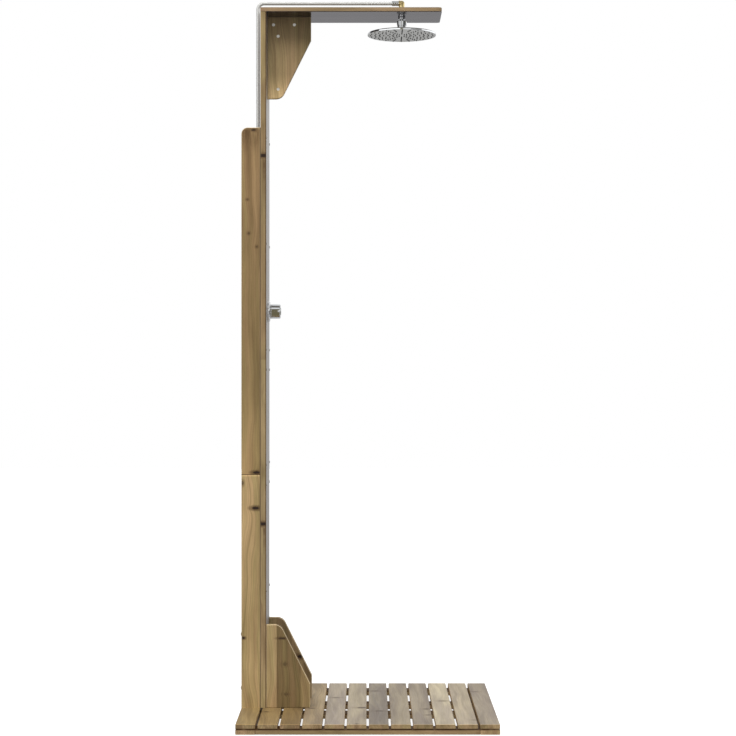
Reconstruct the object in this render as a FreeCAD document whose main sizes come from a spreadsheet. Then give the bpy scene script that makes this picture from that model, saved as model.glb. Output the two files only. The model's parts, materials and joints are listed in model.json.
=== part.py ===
import FreeCAD, Part
import os

import Sketcher

# Outdoor shower post: a slatted platform, a wooden post with a grey metal facing, an arm board on
# three bolted gussets, a rotary valve, a riser hose and a ball-jointed rain head.
# X runs from the post towards the end of the arm, Y across the post, Z up. The origin lies on the
# ground under the middle of the platform. Lengths are in millimetres, angles in degrees.

SIZES = {
    # platform
    "deck_length": 800,
    "deck_width": 710,
    "slat_count": 12,
    "slat_width": 60,
    "slat_thickness": 16,
    "bearer_width": 60,
    "bearer_thickness": 16,
    "inner_bearer_centre": 80,
    "edge_radius": 2.5,
    "easing": 2,
    # post
    "post_width": 184,
    "board_thickness": 18,
    "side_thickness": 18,
    "side_board_depth": 60,
    "front_board_length": 1102,
    "side_lower_length": 737,
    "side_upper_length": 1100,
    "side_corner_radius": 20,
    "facing_thickness": 1,
    "screw_inset": 32,
    "screw_diameter": 4,
    "screw_head_diameter": 8,
    "screw_head_height": 2,
    "panel_screw_length": 45,
    "screw_head_play": 0.4,
    "screw_clearance": 0.05,
    "hole_overrun": 1,
    "body_clearance": 0.5,
    # arm
    "arm_length": 575,
    "arm_thickness": 14,
    "arm_corner_radius": 10,
    # gussets and their bolts
    "gusset_width": 139,
    "gusset_height": 263,
    "gusset_foot": 75,
    "gusset_nose": 44.5,
    "gusset_corner_radius": 30,
    "gusset_thickness": 18,
    "bolt_diameter": 6,
    "bolt_head_diameter": 11,
    "bolt_head_height": 2.5,
    "bolt_clearance": 0.25,
    "bolt_overrun": 7,
    "socket_width": 4,
    "socket_depth": 1.6,
    "upright_bolt_depth": 25.5,
    "upright_bolt_first": 18.5,
    "upright_bolt_pitch": 67,
    "cross_bolt_depth": 33.5,
    "cross_bolt_first": 62,
    "cross_bolt_pitch": 170,
    "barrel_diameter": 10,
    "barrel_recess": 1.5,
    "barrel_clearance": 0.1,
    "counterbore_clearance": 0.7,
    "counterbore_margin": 0.5,
    # valve
    "valve_above_joint": 155,
    "valve_neck_radius": 14,
    "valve_neck_reach": 6.5,
    "valve_barrel_radius": 15,
    "valve_barrel_depth": 28,
    "valve_flange_radius": 22,
    "valve_flange_thickness": 4,
    "cartridge_radius": 11,
    "cartridge_depth": 24,
    "cartridge_setback": 1,
    "small_chamfer": 1,
    "chamfer": 2,
    "spigot_radius": 8.33,
    "spigot_reach": 32,
    "water_way_radius": 4,
    "lock_nut_width": 34,
    "lock_nut_thickness": 4,
    "escutcheon_diameter": 67,
    "escutcheon_depth": 7,
    "escutcheon_wall": 1.2,
    "union_width": 20,
    "union_length": 15,
    "union_engagement": 10,
    "inlet_drop": 10,
    "inlet_body_radius": 8.6,
    "inlet_body_reach": 11,
    "inlet_rim_width": 3,
    "inlet_rim_height": 1.6,
    "inlet_nose_start": 16,
    "inlet_nose_radius": 6.4,
    "inlet_nose_length": 12,
    # knob
    "knob_diameter": 46,
    "knob_length": 32.5,
    "knob_wall": 2.5,
    "knob_gap": 1,
    "knob_front_chamfer": 1.5,
    "knob_hub_wall": 5,
    "knob_web_depth": 8,
    "knob_screw_length": 12,
    "knob_cap_diameter": 24,
    "knob_cap_thickness": 5,
    "knob_cap_proud": 2,
    "spindle_radius": 4,
    "spindle_setback": 6,
    "running_clearance": 0.08,
    # riser hose
    "hose_diameter": 11.5,
    "hose_setback": 12.5,
    "hose_lift": 29.5,
    "hose_bend_radius": 19,
    "ferrule_radius": 7.9,
    "ferrule_length": 22,
    "ferrule_groove": 0.7,
    "clip_wall": 3,
    "clip_width": 12,
    "clip_mouth_share": 0.7,
    "clip_foot_share": 0.8,
    "clip_above_joint": 426,
    "clip_pitch": 220,
    # elbow over the arm
    "head_setback": 125.5,
    "elbow_radius": 9,
    "elbow_reach": 9.5,
    "elbow_hex_width": 24,
    "elbow_hex_height": 8,
    # ball joint, measured from the centre of the ball
    "ball_drop": 21,
    "ball_radius": 9,
    "ball_neck_radius": 4.9,
    "ball_collar_radius": 12,
    "ball_collar_height": 7.7,
    "ball_bore_radius": 3,
    "nipple_engagement": 12,
    "ring_wall": 1.55,
    "ring_clearance": 0.05,
    "socket_clearance": 0.3,
    "ring_low_angle": 10,
    "ring_high_angle": 36,
    "seat_low_angle": -60,
    "lip_angle": 50,
    "swivel_nut_radius": 17,
    "swivel_nut_top": 9,
    "swivel_nut_skirt": 7,
    "swivel_nut_shoulder": 2,
    "swivel_nut_mouth": 4.5,
    "hub_thread_radius": 13.4,
    "hub_setback": 0.3,
    "hub_ledge": 1.4,
    "hub_neck_ledge": 0.6,
    "hub_neck_length": 5,
    "hub_floor": 3,
    "hub_flare": 7,
    # shower head
    "head_diameter": 220,
    "head_drop": 38,
    "head_rim_height": 7,
    "head_wall": 2,
    "head_dome_radius": 520,
    "head_dome_rise": 11.5,
    "head_cavity_rise": 8,
    "face_thickness": 3,
    "face_recess": 0.5,
    "nozzle_radius": 1.7,
    "nozzle_taper": 0.65,
    "nozzle_reach": 2.2,
    "nozzle_first_ring": 16,
    "nozzle_ring_pitch": 14,
}

# The number of nozzles in each ring, from the middle outwards.
NOZZLE_RINGS = (6, 12, 12, 12, 24, 24, 24)

X_AXIS = FreeCAD.Vector(1, 0, 0)
Y_AXIS = FreeCAD.Vector(0, 1, 0)
Z_AXIS = FreeCAD.Vector(0, 0, 1)
# Rotations that turn a shape's own +Z towards the named direction.
TOWARDS = {
    "+x": FreeCAD.Rotation(Y_AXIS, 90),
    "-x": FreeCAD.Rotation(Y_AXIS, -90),
    "+y": FreeCAD.Rotation(X_AXIS, -90),
    "+z": FreeCAD.Rotation(),
    "-z": FreeCAD.Rotation(X_AXIS, 180),
}
AXES = {"x": X_AXIS, "y": Y_AXIS, "z": Z_AXIS}
# Lengths closer than this count as the same.
SAME = 1e-4

doc = FreeCAD.newDocument("shower_post")
sheet = doc.addObject("Spreadsheet::Sheet", "Spec")
for row, (alias, size) in enumerate(SIZES.items(), start=1):
    sheet.set(f"A{row}", alias)
    sheet.set(f"B{row}", str(size))
    sheet.setAlias(f"B{row}", alias)
doc.recompute()

# ---- Places that several pieces share, as expressions on the sheet --------------------------------

DECK_TOP = "(Spec.bearer_thickness + Spec.slat_thickness)"
DECK_REAR = "(-Spec.deck_length / 2)"
DECK_SIDE = "(Spec.deck_width / 2)"
SLAT_PITCH = "((Spec.deck_length - Spec.slat_width) / (Spec.slat_count - 1))"
BEARER_END = "(Spec.deck_length / 2 - Spec.bearer_width)"
OUTER_BEARER = "(Spec.deck_width / 2 - Spec.bearer_width / 2)"
BOARD_REAR = f"({DECK_REAR} + Spec.side_board_depth)"
BOARD_FRONT = f"({BOARD_REAR} + Spec.board_thickness)"
POST_FACE = f"({BOARD_FRONT} + Spec.facing_thickness)"
FRONT_JOINT = f"({DECK_TOP} + Spec.front_board_length)"
ARM_BOTTOM = f"({DECK_TOP} + 2 * Spec.front_board_length)"
ARM_TOP = f"({ARM_BOTTOM} + Spec.arm_thickness)"
ARM_FACE = f"({ARM_BOTTOM} - Spec.facing_thickness)"
ARM_END = f"({BOARD_REAR} + Spec.arm_length)"
SIDE_JOINT = f"({DECK_TOP} + Spec.side_lower_length)"
HOUSING_TOP = f"({SIDE_JOINT} + Spec.side_upper_length)"
POST_SIDE = "(Spec.post_width / 2)"
SIDE_CENTRE = "(Spec.post_width / 2 - Spec.side_thickness / 2)"
GUSSET_CENTRE = "(Spec.post_width / 2 - Spec.gusset_thickness / 2)"
BOLT_HOLE = "(Spec.bolt_diameter / 2 + Spec.bolt_clearance)"
COUNTERBORE = "(Spec.bolt_head_diameter / 2 + Spec.counterbore_clearance)"
COUNTERBORE_DEPTH = "(Spec.bolt_head_height + Spec.counterbore_margin)"
SCREW_HOLE = "(Spec.screw_diameter / 2 + Spec.screw_clearance)"
PANEL = "(Spec.board_thickness + Spec.facing_thickness)"
VALVE_Z = f"({FRONT_JOINT} + Spec.valve_above_joint)"
HOSE_X = f"({BOARD_REAR} - Spec.hose_setback)"
HOSE_Z = f"({ARM_TOP} + Spec.hose_lift)"
HOSE_FOOT = f"({VALVE_Z} + Spec.spigot_reach)"
HEAD_X = f"({ARM_END} - Spec.head_setback)"
ELBOW_FACE = f"({HEAD_X} - Spec.elbow_reach)"
BALL_Z = f"({ARM_FACE} - Spec.ball_drop)"
SPIGOT_HOLE = "(Spec.spigot_radius + Spec.screw_clearance)"
HOSE_BORE = "(Spec.hose_diameter / 2 + Spec.screw_clearance)"
CLIP_PLUG = "Spec.clip_wall"
CLIP_PLUG_DEPTH = "(Spec.board_thickness / 2)"
CLIP_HEIGHTS = [f"({FRONT_JOINT} + Spec.clip_above_joint + {i} * Spec.clip_pitch)" for i in range(2)]


def value(expression):
    """The number that an expression gives on the sheet."""
    return float(sheet.evalExpression(expression))


# ---- Making the pieces ----------------------------------------------------------------------------


def new_body(label, base=("0", "0", "0"), rotation=TOWARDS["+z"]):
    """An empty body whose origin lies at the point given by three expressions."""
    body = doc.addObject("PartDesign::Body", label)
    body.Label = label
    body.Placement = FreeCAD.Placement(FreeCAD.Vector(), rotation)
    for axis, expression in zip("xyz", base):
        body.setExpression(f"Placement.Base.{axis}", expression)
    return body


def sketch_on(body, role):
    """A sketch on one of the body's own origin planes."""
    sketch = body.newObject("Sketcher::SketchObject", f"{body.Name}_sketch")
    plane = next(f for f in body.Origin.OriginFeatures if f.Role == role)
    sketch.AttachmentSupport = [(plane, "")]
    sketch.MapMode = "FlatFace"
    return sketch


def fix(sketch, kind, name, where, expression):
    """One named dimension of a sketch, bound to an expression."""
    index = sketch.addConstraint(Sketcher.Constraint(kind, *where, value(expression)))
    sketch.renameConstraint(index, name)
    sketch.setExpression(f"Constraints.{name}", expression)


def outline(sketch, corners, arcs=None):
    """Closes straight edges and arcs through the corners, which are pairs of expressions.

    arcs gives, for the edge that starts at a corner's index, a radius expression and the side of the
    edge that the arc bulges to: 1 for its left, -1 for its right.
    """
    arcs = arcs or {}
    points = [FreeCAD.Vector(value(x), value(y), 0) for x, y in corners]
    starts, ends = [], []
    for i, start in enumerate(points):
        end = points[(i + 1) % len(points)]
        if i not in arcs:
            sketch.addGeometry(Part.LineSegment(start, end), False)
            starts.append(1)
            ends.append(2)
            continue
        radius, side = value(arcs[i][0]), arcs[i][1]
        chord = end - start
        left = FreeCAD.Vector(-chord.y, chord.x, 0).normalize()
        rise = radius - (radius**2 - chord.Length**2 / 4) ** 0.5
        sketch.addGeometry(Part.Arc(start, (start + end) / 2 + left * rise * side, end), False)
        starts.append(2 if side > 0 else 1)
        ends.append(1 if side > 0 else 2)
    for i in range(len(points)):
        following = (i + 1) % len(points)
        joined = Sketcher.Constraint("Coincident", i, ends[i], following, starts[following])
        sketch.addConstraint(joined)
    for i, (x, y) in enumerate(corners):
        fix(sketch, "DistanceX", f"x{i}", (-1, 1, i, starts[i]), x)
        fix(sketch, "DistanceY", f"y{i}", (-1, 1, i, starts[i]), y)
    for i, (radius, _) in arcs.items():
        fix(sketch, "Radius", f"r{i}", (i,), radius)


def body_pad(body, sketch, length, symmetric=False):
    """A prism from a sketch, to the sketch's front or to both sides of it."""
    feature = body.newObject("PartDesign::Pad", f"{body.Name}_pad")
    feature.Profile = sketch
    feature.SideType = "Symmetric" if symmetric else "One side"
    feature.setExpression("Length", length)
    return feature


def pad(body, role, corners, length, symmetric=False):
    """A prism of straight-edged section on an origin plane."""
    sketch = sketch_on(body, role)
    outline(sketch, corners)
    return body_pad(body, sketch, length, symmetric)


def rectangle(low_x, low_y, high_x, high_y):
    return [(low_x, low_y), (high_x, low_y), (high_x, high_y), (low_x, high_y)]


def hexagon_corners(radius):
    return [(f"{radius} * cos({60 * i})", f"{radius} * sin({60 * i})") for i in range(6)]


def turn(body, axis, profile, arcs=None):
    """A solid turned about the body's own x, y or z; profile gives pairs of along and radius."""
    role = "XY_Plane" if axis == "y" else "XZ_Plane"
    sketch = sketch_on(body, role)
    lengthwise = axis == "x"
    outline(sketch, [(a, r) if lengthwise else (r, a) for a, r in profile], arcs)
    feature = body.newObject("PartDesign::Revolution", f"{body.Name}_turned")
    feature.Profile = sketch
    feature.ReferenceAxis = (sketch, ["H_Axis" if lengthwise else "V_Axis"])
    feature.Angle = 360
    return feature


def primitive(body, kind, direction, base, **sizes):
    """An additive or subtractive primitive of the body, its axis along the direction."""
    feature = body.newObject(f"PartDesign::{kind}", f"{body.Name}_{kind}")
    feature.Placement = FreeCAD.Placement(FreeCAD.Vector(), TOWARDS[direction])
    for axis, expression in zip("xyz", base):
        feature.setExpression(f"Placement.Base.{axis}", expression)
    for name, expression in sizes.items():
        feature.setExpression(name, expression)
    return feature


def rod(body, direction, base, radius, length):
    """A round rod from the base point along the direction, in the body's own frame."""
    return primitive(body, "AdditiveCylinder", direction, base, Radius=radius, Height=length)


def drill(body, direction, base, radius, depth):
    """A round hole from the base point along the direction, in the body's own frame."""
    return primitive(body, "SubtractiveCylinder", direction, base, Radius=radius, Height=depth)


def hexagon(body, kind, direction, base, width, depth):
    """A hexagonal prism, given by its width across flats."""
    feature = primitive(
        body, kind, direction, base, Circumradius=f"{width} / 2 / cos(30)", Height=depth
    )
    feature.Polygon = 6
    return feature


def fillet(body, radius, chosen):
    """Rounds the edges of the body's tip for which chosen(edge) is true."""
    doc.recompute()
    base = body.Tip
    names = [f"Edge{i}" for i, edge in enumerate(base.Shape.Edges, start=1) if chosen(edge)]
    feature = body.newObject("PartDesign::Fillet", f"{body.Name}_fillet")
    feature.Base = (base, names)
    feature.setExpression("Radius", radius)
    return feature


def runs_along(edge, axis):
    """True if the edge is straight and parallel to the axis."""
    if len(edge.Vertexes) != 2:
        return False
    step = edge.Vertexes[1].Point - edge.Vertexes[0].Point
    return step.cross(AXES[axis]).Length < SAME


def pair(body, originals, *directions):
    """Features made twice along each direction, which is an origin axis and a pitch expression."""
    feature = body.newObject("PartDesign::LinearPattern", f"{body.Name}_pattern")
    feature.Originals = originals
    for suffix, (axis, pitch) in zip(("", "2"), directions):
        line = next(f for f in body.Origin.OriginFeatures if f.Role == f"{axis.upper()}_Axis")
        setattr(feature, f"Direction{suffix}", (line, [""]))
        setattr(feature, f"Occurrences{suffix}", 2)
        feature.setExpression(f"Length{suffix}", pitch)
    body.Tip = feature
    return feature


def scattered(label, master, places):
    """One node of separate solids: copies of the master's shape at placements."""
    doc.recompute()
    copies = []
    for place in places:
        copy = master.Shape.copy()
        copy.Placement = place.multiply(master.Placement)
        copies.append(copy)
    group = doc.addObject("Part::Feature", label)
    group.Label = label
    group.Shape = Part.makeCompound(copies)
    return group


def at(x, y, z, rotation=TOWARDS["+z"]):
    """A placement at a point given by three expressions."""
    return FreeCAD.Placement(FreeCAD.Vector(value(x), value(y), value(z)), rotation)


def board(label, low, size, long_axis, corner=None, eased=None):
    """A board with rounded long edges: its lowest corner, its size along X, Y and Z.

    corner gives a radius and a test for the edges that are rounded by it first, and eased a test for
    the long edges that are rounded, all of them if it is left out.
    """
    body = new_body(label, low)
    length, width, height = size
    pad(body, "XY_Plane", rectangle("0", "0", length, width), height)
    if corner:
        fillet(body, *corner)

    def long_edge(edge):
        return runs_along(edge, long_axis) and (eased is None or eased(edge))

    fillet(body, "Spec.edge_radius", long_edge)
    return body


def ease_faces(body, axis, *levels):
    """Eases the outline edges of the flat faces that lie at the levels along an axis."""
    side = axis.upper()

    def on_face(edge):
        low, high = getattr(edge.BoundBox, f"{side}Min"), getattr(edge.BoundBox, f"{side}Max")
        return high - low < SAME and any(abs(low - level) < SAME for level in levels)

    fillet(body, "Spec.easing", on_face)


NODES = []


def node(piece):
    """Marks a piece as one that is written out."""
    NODES.append(piece)
    return piece


# ---- Platform -------------------------------------------------------------------------------------

UPRIGHT_BOLTS_X = [
    f"({POST_FACE} + Spec.upright_bolt_first + {i} * Spec.upright_bolt_pitch)" for i in range(2)
]


def slat_start(index):
    return f"({DECK_REAR} + {index} * {SLAT_PITCH})"


def slat_middle(index):
    return f"({slat_start(index)} + Spec.slat_width / 2)"


def bolts_near(x, width):
    """The upright bolts that pass within half the width, and a hole's radius, of a place in X."""
    reach = value(f"{width} / 2 + {COUNTERBORE}")
    return [bolt for bolt in UPRIGHT_BOLTS_X if abs(value(bolt) - value(x)) < reach]


def make_slat(index):
    low = (slat_start(index), f"(-{DECK_SIDE})", "Spec.bearer_thickness")
    size = ("Spec.slat_width", "Spec.deck_width", "Spec.slat_thickness")
    slat = board(f"deck_slat_{index + 1:02d}", low, size, "y")
    ease_faces(slat, "y", 0, value("Spec.deck_width"))
    for bolt in bolts_near(slat_middle(index), "Spec.slat_width"):
        for side in ("-", "+"):
            place = (f"{bolt} - {low[0]}", f"{DECK_SIDE} {side} {GUSSET_CENTRE}", "0")
            drill(slat, "+z", place, BOLT_HOLE, "Spec.slat_thickness")
    return slat


def make_end_bearer(label, x):
    low = (x, f"(-{DECK_SIDE})", "0")
    return board(label, low, ("Spec.bearer_width", "Spec.deck_width", "Spec.bearer_thickness"), "y")


def make_long_bearer(label, centre, bolt_side=None):
    low = (f"(-{BEARER_END})", f"{centre} - Spec.bearer_width / 2", "0")
    size = (f"2 * {BEARER_END}", "Spec.bearer_width", "Spec.bearer_thickness")
    bearer = board(label, low, size, "x")
    if bolt_side:
        for bolt in UPRIGHT_BOLTS_X:
            place = (f"{bolt} + {BEARER_END}", f"{bolt_side}{GUSSET_CENTRE} - ({low[1]})", "0")
            drill(bearer, "+z", place, BOLT_HOLE, "Spec.bearer_thickness")
            drill(bearer, "+z", place, COUNTERBORE, COUNTERBORE_DEPTH)
    return bearer


for index in range(SIZES["slat_count"]):
    node(make_slat(index))
node(make_end_bearer("end_bearer_rear", DECK_REAR))
node(make_end_bearer("end_bearer_front", BEARER_END))
node(make_long_bearer("long_bearer_near", f"(-{OUTER_BEARER})"))
node(make_long_bearer("long_bearer_mid_near", "(-Spec.inner_bearer_centre)", "-"))
node(make_long_bearer("long_bearer_mid_far", "Spec.inner_bearer_centre", "+"))
node(make_long_bearer("long_bearer_far", OUTER_BEARER))

# ---- Gussets --------------------------------------------------------------------------------------

CROSS_BOLTS = [f"(Spec.cross_bolt_first + {i} * Spec.cross_bolt_pitch)" for i in range(2)]
UPRIGHT_BOLTS = [f"(Spec.upright_bolt_first + {i} * Spec.upright_bolt_pitch)" for i in range(2)]
BARREL_LENGTH = "(Spec.gusset_thickness - 2 * Spec.barrel_recess)"
# Nut centres in the gusset's own frame: X from the post's face, Z from the wide edge.
UPRIGHT_NUTS = [(x, "Spec.upright_bolt_depth") for x in UPRIGHT_BOLTS]
CROSS_NUTS = [("Spec.cross_bolt_depth", z) for z in CROSS_BOLTS]


def make_gusset(label, base, rotation, nuts_open_up_y):
    """A tapered gusset. Its long straight edge lies on local Z, its wide edge on local X."""
    gusset = new_body(label, base, rotation)
    corners = [
        ("0", "0"),
        ("Spec.gusset_width", "0"),
        ("Spec.gusset_width", "Spec.gusset_foot"),
        ("Spec.gusset_nose", "Spec.gusset_height"),
        ("0", "Spec.gusset_height"),
    ]
    pad(gusset, "XZ_Plane", corners, "Spec.gusset_thickness", symmetric=True)
    nose, height = value("Spec.gusset_nose"), value("Spec.gusset_height")

    def at_nose(edge):
        middle = edge.CenterOfMass
        return abs(middle.x - nose) < SAME and abs(middle.z - height) < SAME

    fillet(gusset, "Spec.gusset_corner_radius", at_nose)
    side = value("Spec.gusset_thickness / 2")
    ease_faces(gusset, "y", -side, side)
    half = "Spec.gusset_thickness / 2"
    start = f"Spec.barrel_recess - {half}" if nuts_open_up_y else f"-{half}"
    for x, z in UPRIGHT_NUTS + CROSS_NUTS:
        radius = "Spec.barrel_diameter / 2 + Spec.barrel_clearance"
        depth = "Spec.gusset_thickness - Spec.barrel_recess"
        drill(gusset, "+y", (x, start, z), radius, depth)
    past_nut = "Spec.bolt_overrun + Spec.hole_overrun"
    for x, z in UPRIGHT_NUTS:
        drill(gusset, "+z", (x, "0", "0"), BOLT_HOLE, f"{z} + {past_nut}")
    for x, z in CROSS_NUTS:
        drill(gusset, "+x", ("0", "0", z), BOLT_HOLE, f"{x} + {past_nut}")
    return gusset


node(make_gusset("arm_gusset", (POST_FACE, "0", ARM_FACE), TOWARDS["-z"], True))
near_base = (POST_FACE, f"(-{GUSSET_CENTRE})", DECK_TOP)
node(make_gusset("base_gusset_near", near_base, TOWARDS["+z"], True))
far_base = (POST_FACE, GUSSET_CENTRE, DECK_TOP)
node(make_gusset("base_gusset_far", far_base, TOWARDS["+z"], False))

# ---- Post and arm ---------------------------------------------------------------------------------

# Heights of the screws that hold the front boards to the side boards, in pairs about each joint.
SCREW_HEIGHTS = [
    f"({DECK_TOP} + Spec.side_lower_length / 2)",
    f"({SIDE_JOINT} - Spec.screw_inset)",
    f"({SIDE_JOINT} + Spec.screw_inset)",
    f"({FRONT_JOINT} - Spec.screw_inset)",
    f"({FRONT_JOINT} + Spec.screw_inset)",
    f"(({FRONT_JOINT} + {HOUSING_TOP}) / 2)",
    f"({HOUSING_TOP} - Spec.screw_inset)",
]
BASE_CROSS_Z = [f"({DECK_TOP} + {z})" for z in CROSS_BOLTS]
ARM_CROSS_Z = [f"({ARM_FACE} - {z})" for z in CROSS_BOLTS]


def within(heights, low, high):
    return [z for z in heights if value(low) < value(z) < value(high)]


def cut_panel(panel, low, high, thickness):
    """The holes that a front board and its facing share: screws, gusset bolts and the valve."""
    for side in ("-", "+"):
        for z in within(SCREW_HEIGHTS, low, high):
            drill(panel, "+x", ("0", f"{POST_SIDE} {side} {SIDE_CENTRE}", f"{z} - {low}"),
                  SCREW_HOLE, thickness)
        for z in within(BASE_CROSS_Z, low, high):
            drill(panel, "+x", ("0", f"{POST_SIDE} {side} {GUSSET_CENTRE}", f"{z} - {low}"),
                  BOLT_HOLE, thickness)
    for z in within(ARM_CROSS_Z, low, high):
        drill(panel, "+x", ("0", POST_SIDE, f"{z} - {low}"), BOLT_HOLE, thickness)
    for z in within([VALVE_Z], low, high):
        radius = "Spec.valve_neck_radius + Spec.body_clearance"
        drill(panel, "+x", ("0", POST_SIDE, f"{z} - {low}"), radius, thickness)


def make_front_board(label, low, high):
    base = (BOARD_REAR, f"(-{POST_SIDE})", low)
    size = ("Spec.board_thickness", "Spec.post_width", f"{high} - {low}")
    front = board(label, base, size, "z", eased=lambda edge: edge.CenterOfMass.x < SAME)
    cut_panel(front, low, high, "Spec.board_thickness")
    for z in within(CLIP_HEIGHTS, low, high):
        drill(front, "+x", ("0", POST_SIDE, f"{z} - {low}"), CLIP_PLUG, CLIP_PLUG_DEPTH)
    return front


def make_post_facing(label, low, high):
    """A thin sheet over the whole face of a front board."""
    facing = new_body(label, (BOARD_FRONT, f"(-{POST_SIDE})", low))
    corners = rectangle("0", "0", "Spec.facing_thickness", "Spec.post_width")
    pad(facing, "XY_Plane", corners, f"{high} - {low}")
    cut_panel(facing, low, high, "Spec.facing_thickness")
    return facing


def make_side_board(label, side, low, high):
    """A side board. The upper one has a rounded rear top corner, the lower one the bolt holes."""
    inner = {"-": f"(-{POST_SIDE})", "+": f"({POST_SIDE} - Spec.side_thickness)"}[side]
    base = (DECK_REAR, inner, low)
    size = ("Spec.side_board_depth", "Spec.side_thickness", f"{high} - {low}")
    if high == HOUSING_TOP:
        height = value(size[2])

        def top_rear(edge):
            middle = edge.CenterOfMass
            return runs_along(edge, "y") and abs(middle.z - height) < SAME and middle.x < SAME

        side_board = board(label, base, size, "z", ("Spec.side_corner_radius", top_rear))
    else:
        side_board = board(label, base, size, "z")
    middle = "Spec.side_thickness / 2"
    bite = f"Spec.panel_screw_length - {PANEL} + Spec.hole_overrun"
    for z in within(SCREW_HEIGHTS, low, high):
        start = f"Spec.side_board_depth - ({bite})"
        drill(side_board, "+x", (start, middle, f"{z} - {low}"), SCREW_HOLE, bite)
    for z in within(BASE_CROSS_Z, low, high):
        centre = f"{side}{GUSSET_CENTRE} - {inner}"
        drill(side_board, "+x", ("0", centre, f"{z} - {low}"), BOLT_HOLE, "Spec.side_board_depth")
    return side_board


def make_arm_layer(label, low_x, low_z, thickness, eased=False):
    """The arm board or the sheet under it: rounded in plan, with holes for bolts and nipple."""
    layer = new_body(label, (low_x, f"(-{POST_SIDE})", low_z))
    length = f"{ARM_END} - {low_x}"
    pad(layer, "XY_Plane", rectangle("0", "0", length, "Spec.post_width"), thickness)
    end = value(length)

    def at_end(edge):
        return runs_along(edge, "z") and abs(edge.CenterOfMass.x - end) < SAME

    fillet(layer, "Spec.arm_corner_radius", at_end)
    if eased:
        ease_faces(layer, "z", 0, value(thickness))
    for bolt in UPRIGHT_BOLTS_X:
        drill(layer, "+z", (f"{bolt} - {low_x}", POST_SIDE, "0"), BOLT_HOLE, thickness)
    nipple = "Spec.spigot_radius + Spec.body_clearance"
    drill(layer, "+z", (f"{HEAD_X} - {low_x}", POST_SIDE, "0"), nipple, thickness)
    return layer


node(make_front_board("front_board_lower", DECK_TOP, FRONT_JOINT))
node(make_front_board("front_board_upper", FRONT_JOINT, ARM_BOTTOM))
node(make_post_facing("post_facing_lower", DECK_TOP, FRONT_JOINT))
node(make_post_facing("post_facing_upper", FRONT_JOINT, ARM_BOTTOM))
for name, side in (("near", "-"), ("far", "+")):
    node(make_side_board(f"side_board_{name}_lower", side, DECK_TOP, SIDE_JOINT))
    node(make_side_board(f"side_board_{name}_upper", side, SIDE_JOINT, HOUSING_TOP))
node(make_arm_layer("arm_board", BOARD_REAR, ARM_BOTTOM, "Spec.arm_thickness", eased=True))
node(make_arm_layer("arm_facing", POST_FACE, ARM_FACE, "Spec.facing_thickness"))

# ---- Bolts, nuts and screws -----------------------------------------------------------------------


def fastener(body, head_radius, head_height, radius, length):
    """A headed pin: its head lies below local z = 0 and its shank above."""
    profile = [
        (f"(-{head_height})", "0"),
        (f"(-{head_height})", f"{head_radius} * 0.8"),
        (f"(-{head_height} / 2)", head_radius),
        ("0", head_radius),
        ("0", radius),
        (length, radius),
        (length, "0"),
    ]
    return turn(body, "z", profile)


def make_bolts(label, base, direction, length, *pattern):
    """A group of socket-headed bolts."""
    bolts = new_body(label, base, TOWARDS[direction])
    shank = fastener(
        bolts, "Spec.bolt_head_diameter / 2", "Spec.bolt_head_height", "Spec.bolt_diameter / 2", length
    )
    sketch = sketch_on(bolts, "XY_Plane")
    sketch.setExpression("AttachmentOffset.Base.z", "-Spec.bolt_head_height")
    outline(sketch, hexagon_corners("(Spec.socket_width / 2 / cos(30))"))
    socket = bolts.newObject("PartDesign::Pocket", f"{label}_socket")
    socket.Profile = sketch
    socket.Reversed = True
    socket.setExpression("Length", "Spec.socket_depth")
    pair(bolts, [shank, socket], *pattern)
    return bolts


UPRIGHT_BITE = "(Spec.upright_bolt_depth + Spec.bolt_overrun)"
CROSS_BITE = "(Spec.cross_bolt_depth + Spec.bolt_overrun)"
ALONG_GUSSET = ("x", "Spec.upright_bolt_pitch")
UP_THE_POST = ("x", "Spec.cross_bolt_pitch")
GUSSET_TO_GUSSET = ("y", f"2 * {GUSSET_CENTRE}")

start = (UPRIGHT_BOLTS_X[0], "0", ARM_TOP)
length = f"Spec.arm_thickness + Spec.facing_thickness + {UPRIGHT_BITE}"
node(make_bolts("arm_bolts", start, "-z", length, ALONG_GUSSET))

start = (BOARD_REAR, "0", ARM_CROSS_Z[0])
length = f"{PANEL} + {CROSS_BITE}"
node(make_bolts("post_bolts", start, "+x", length, UP_THE_POST))

start = (DECK_REAR, f"(-{GUSSET_CENTRE})", BASE_CROSS_Z[1])
length = f"Spec.side_board_depth + {PANEL} + {CROSS_BITE}"
node(make_bolts("base_cross_bolts", start, "+x", length, UP_THE_POST, GUSSET_TO_GUSSET))

start = (UPRIGHT_BOLTS_X[0], f"(-{GUSSET_CENTRE})", COUNTERBORE_DEPTH)
length = f"{DECK_TOP} - {COUNTERBORE_DEPTH} + {UPRIGHT_BITE}"
node(make_bolts("base_deck_bolts", start, "+z", length, ALONG_GUSSET, GUSSET_TO_GUSSET))


def make_barrel_nut():
    """A cross dowel along local y, its threaded hole along local z."""
    nut = new_body("barrel_nut")
    half = f"({BARREL_LENGTH} / 2)"
    radius = "Spec.barrel_diameter / 2"
    turn(nut, "y", [(f"(-{half})", "0"), (f"(-{half})", radius), (half, radius), (half, "0")])
    hole = "Spec.bolt_diameter / 2 + Spec.screw_clearance"
    drill(nut, "+z", ("0", "0", f"-{radius}"), hole, "Spec.barrel_diameter")
    return nut


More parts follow.
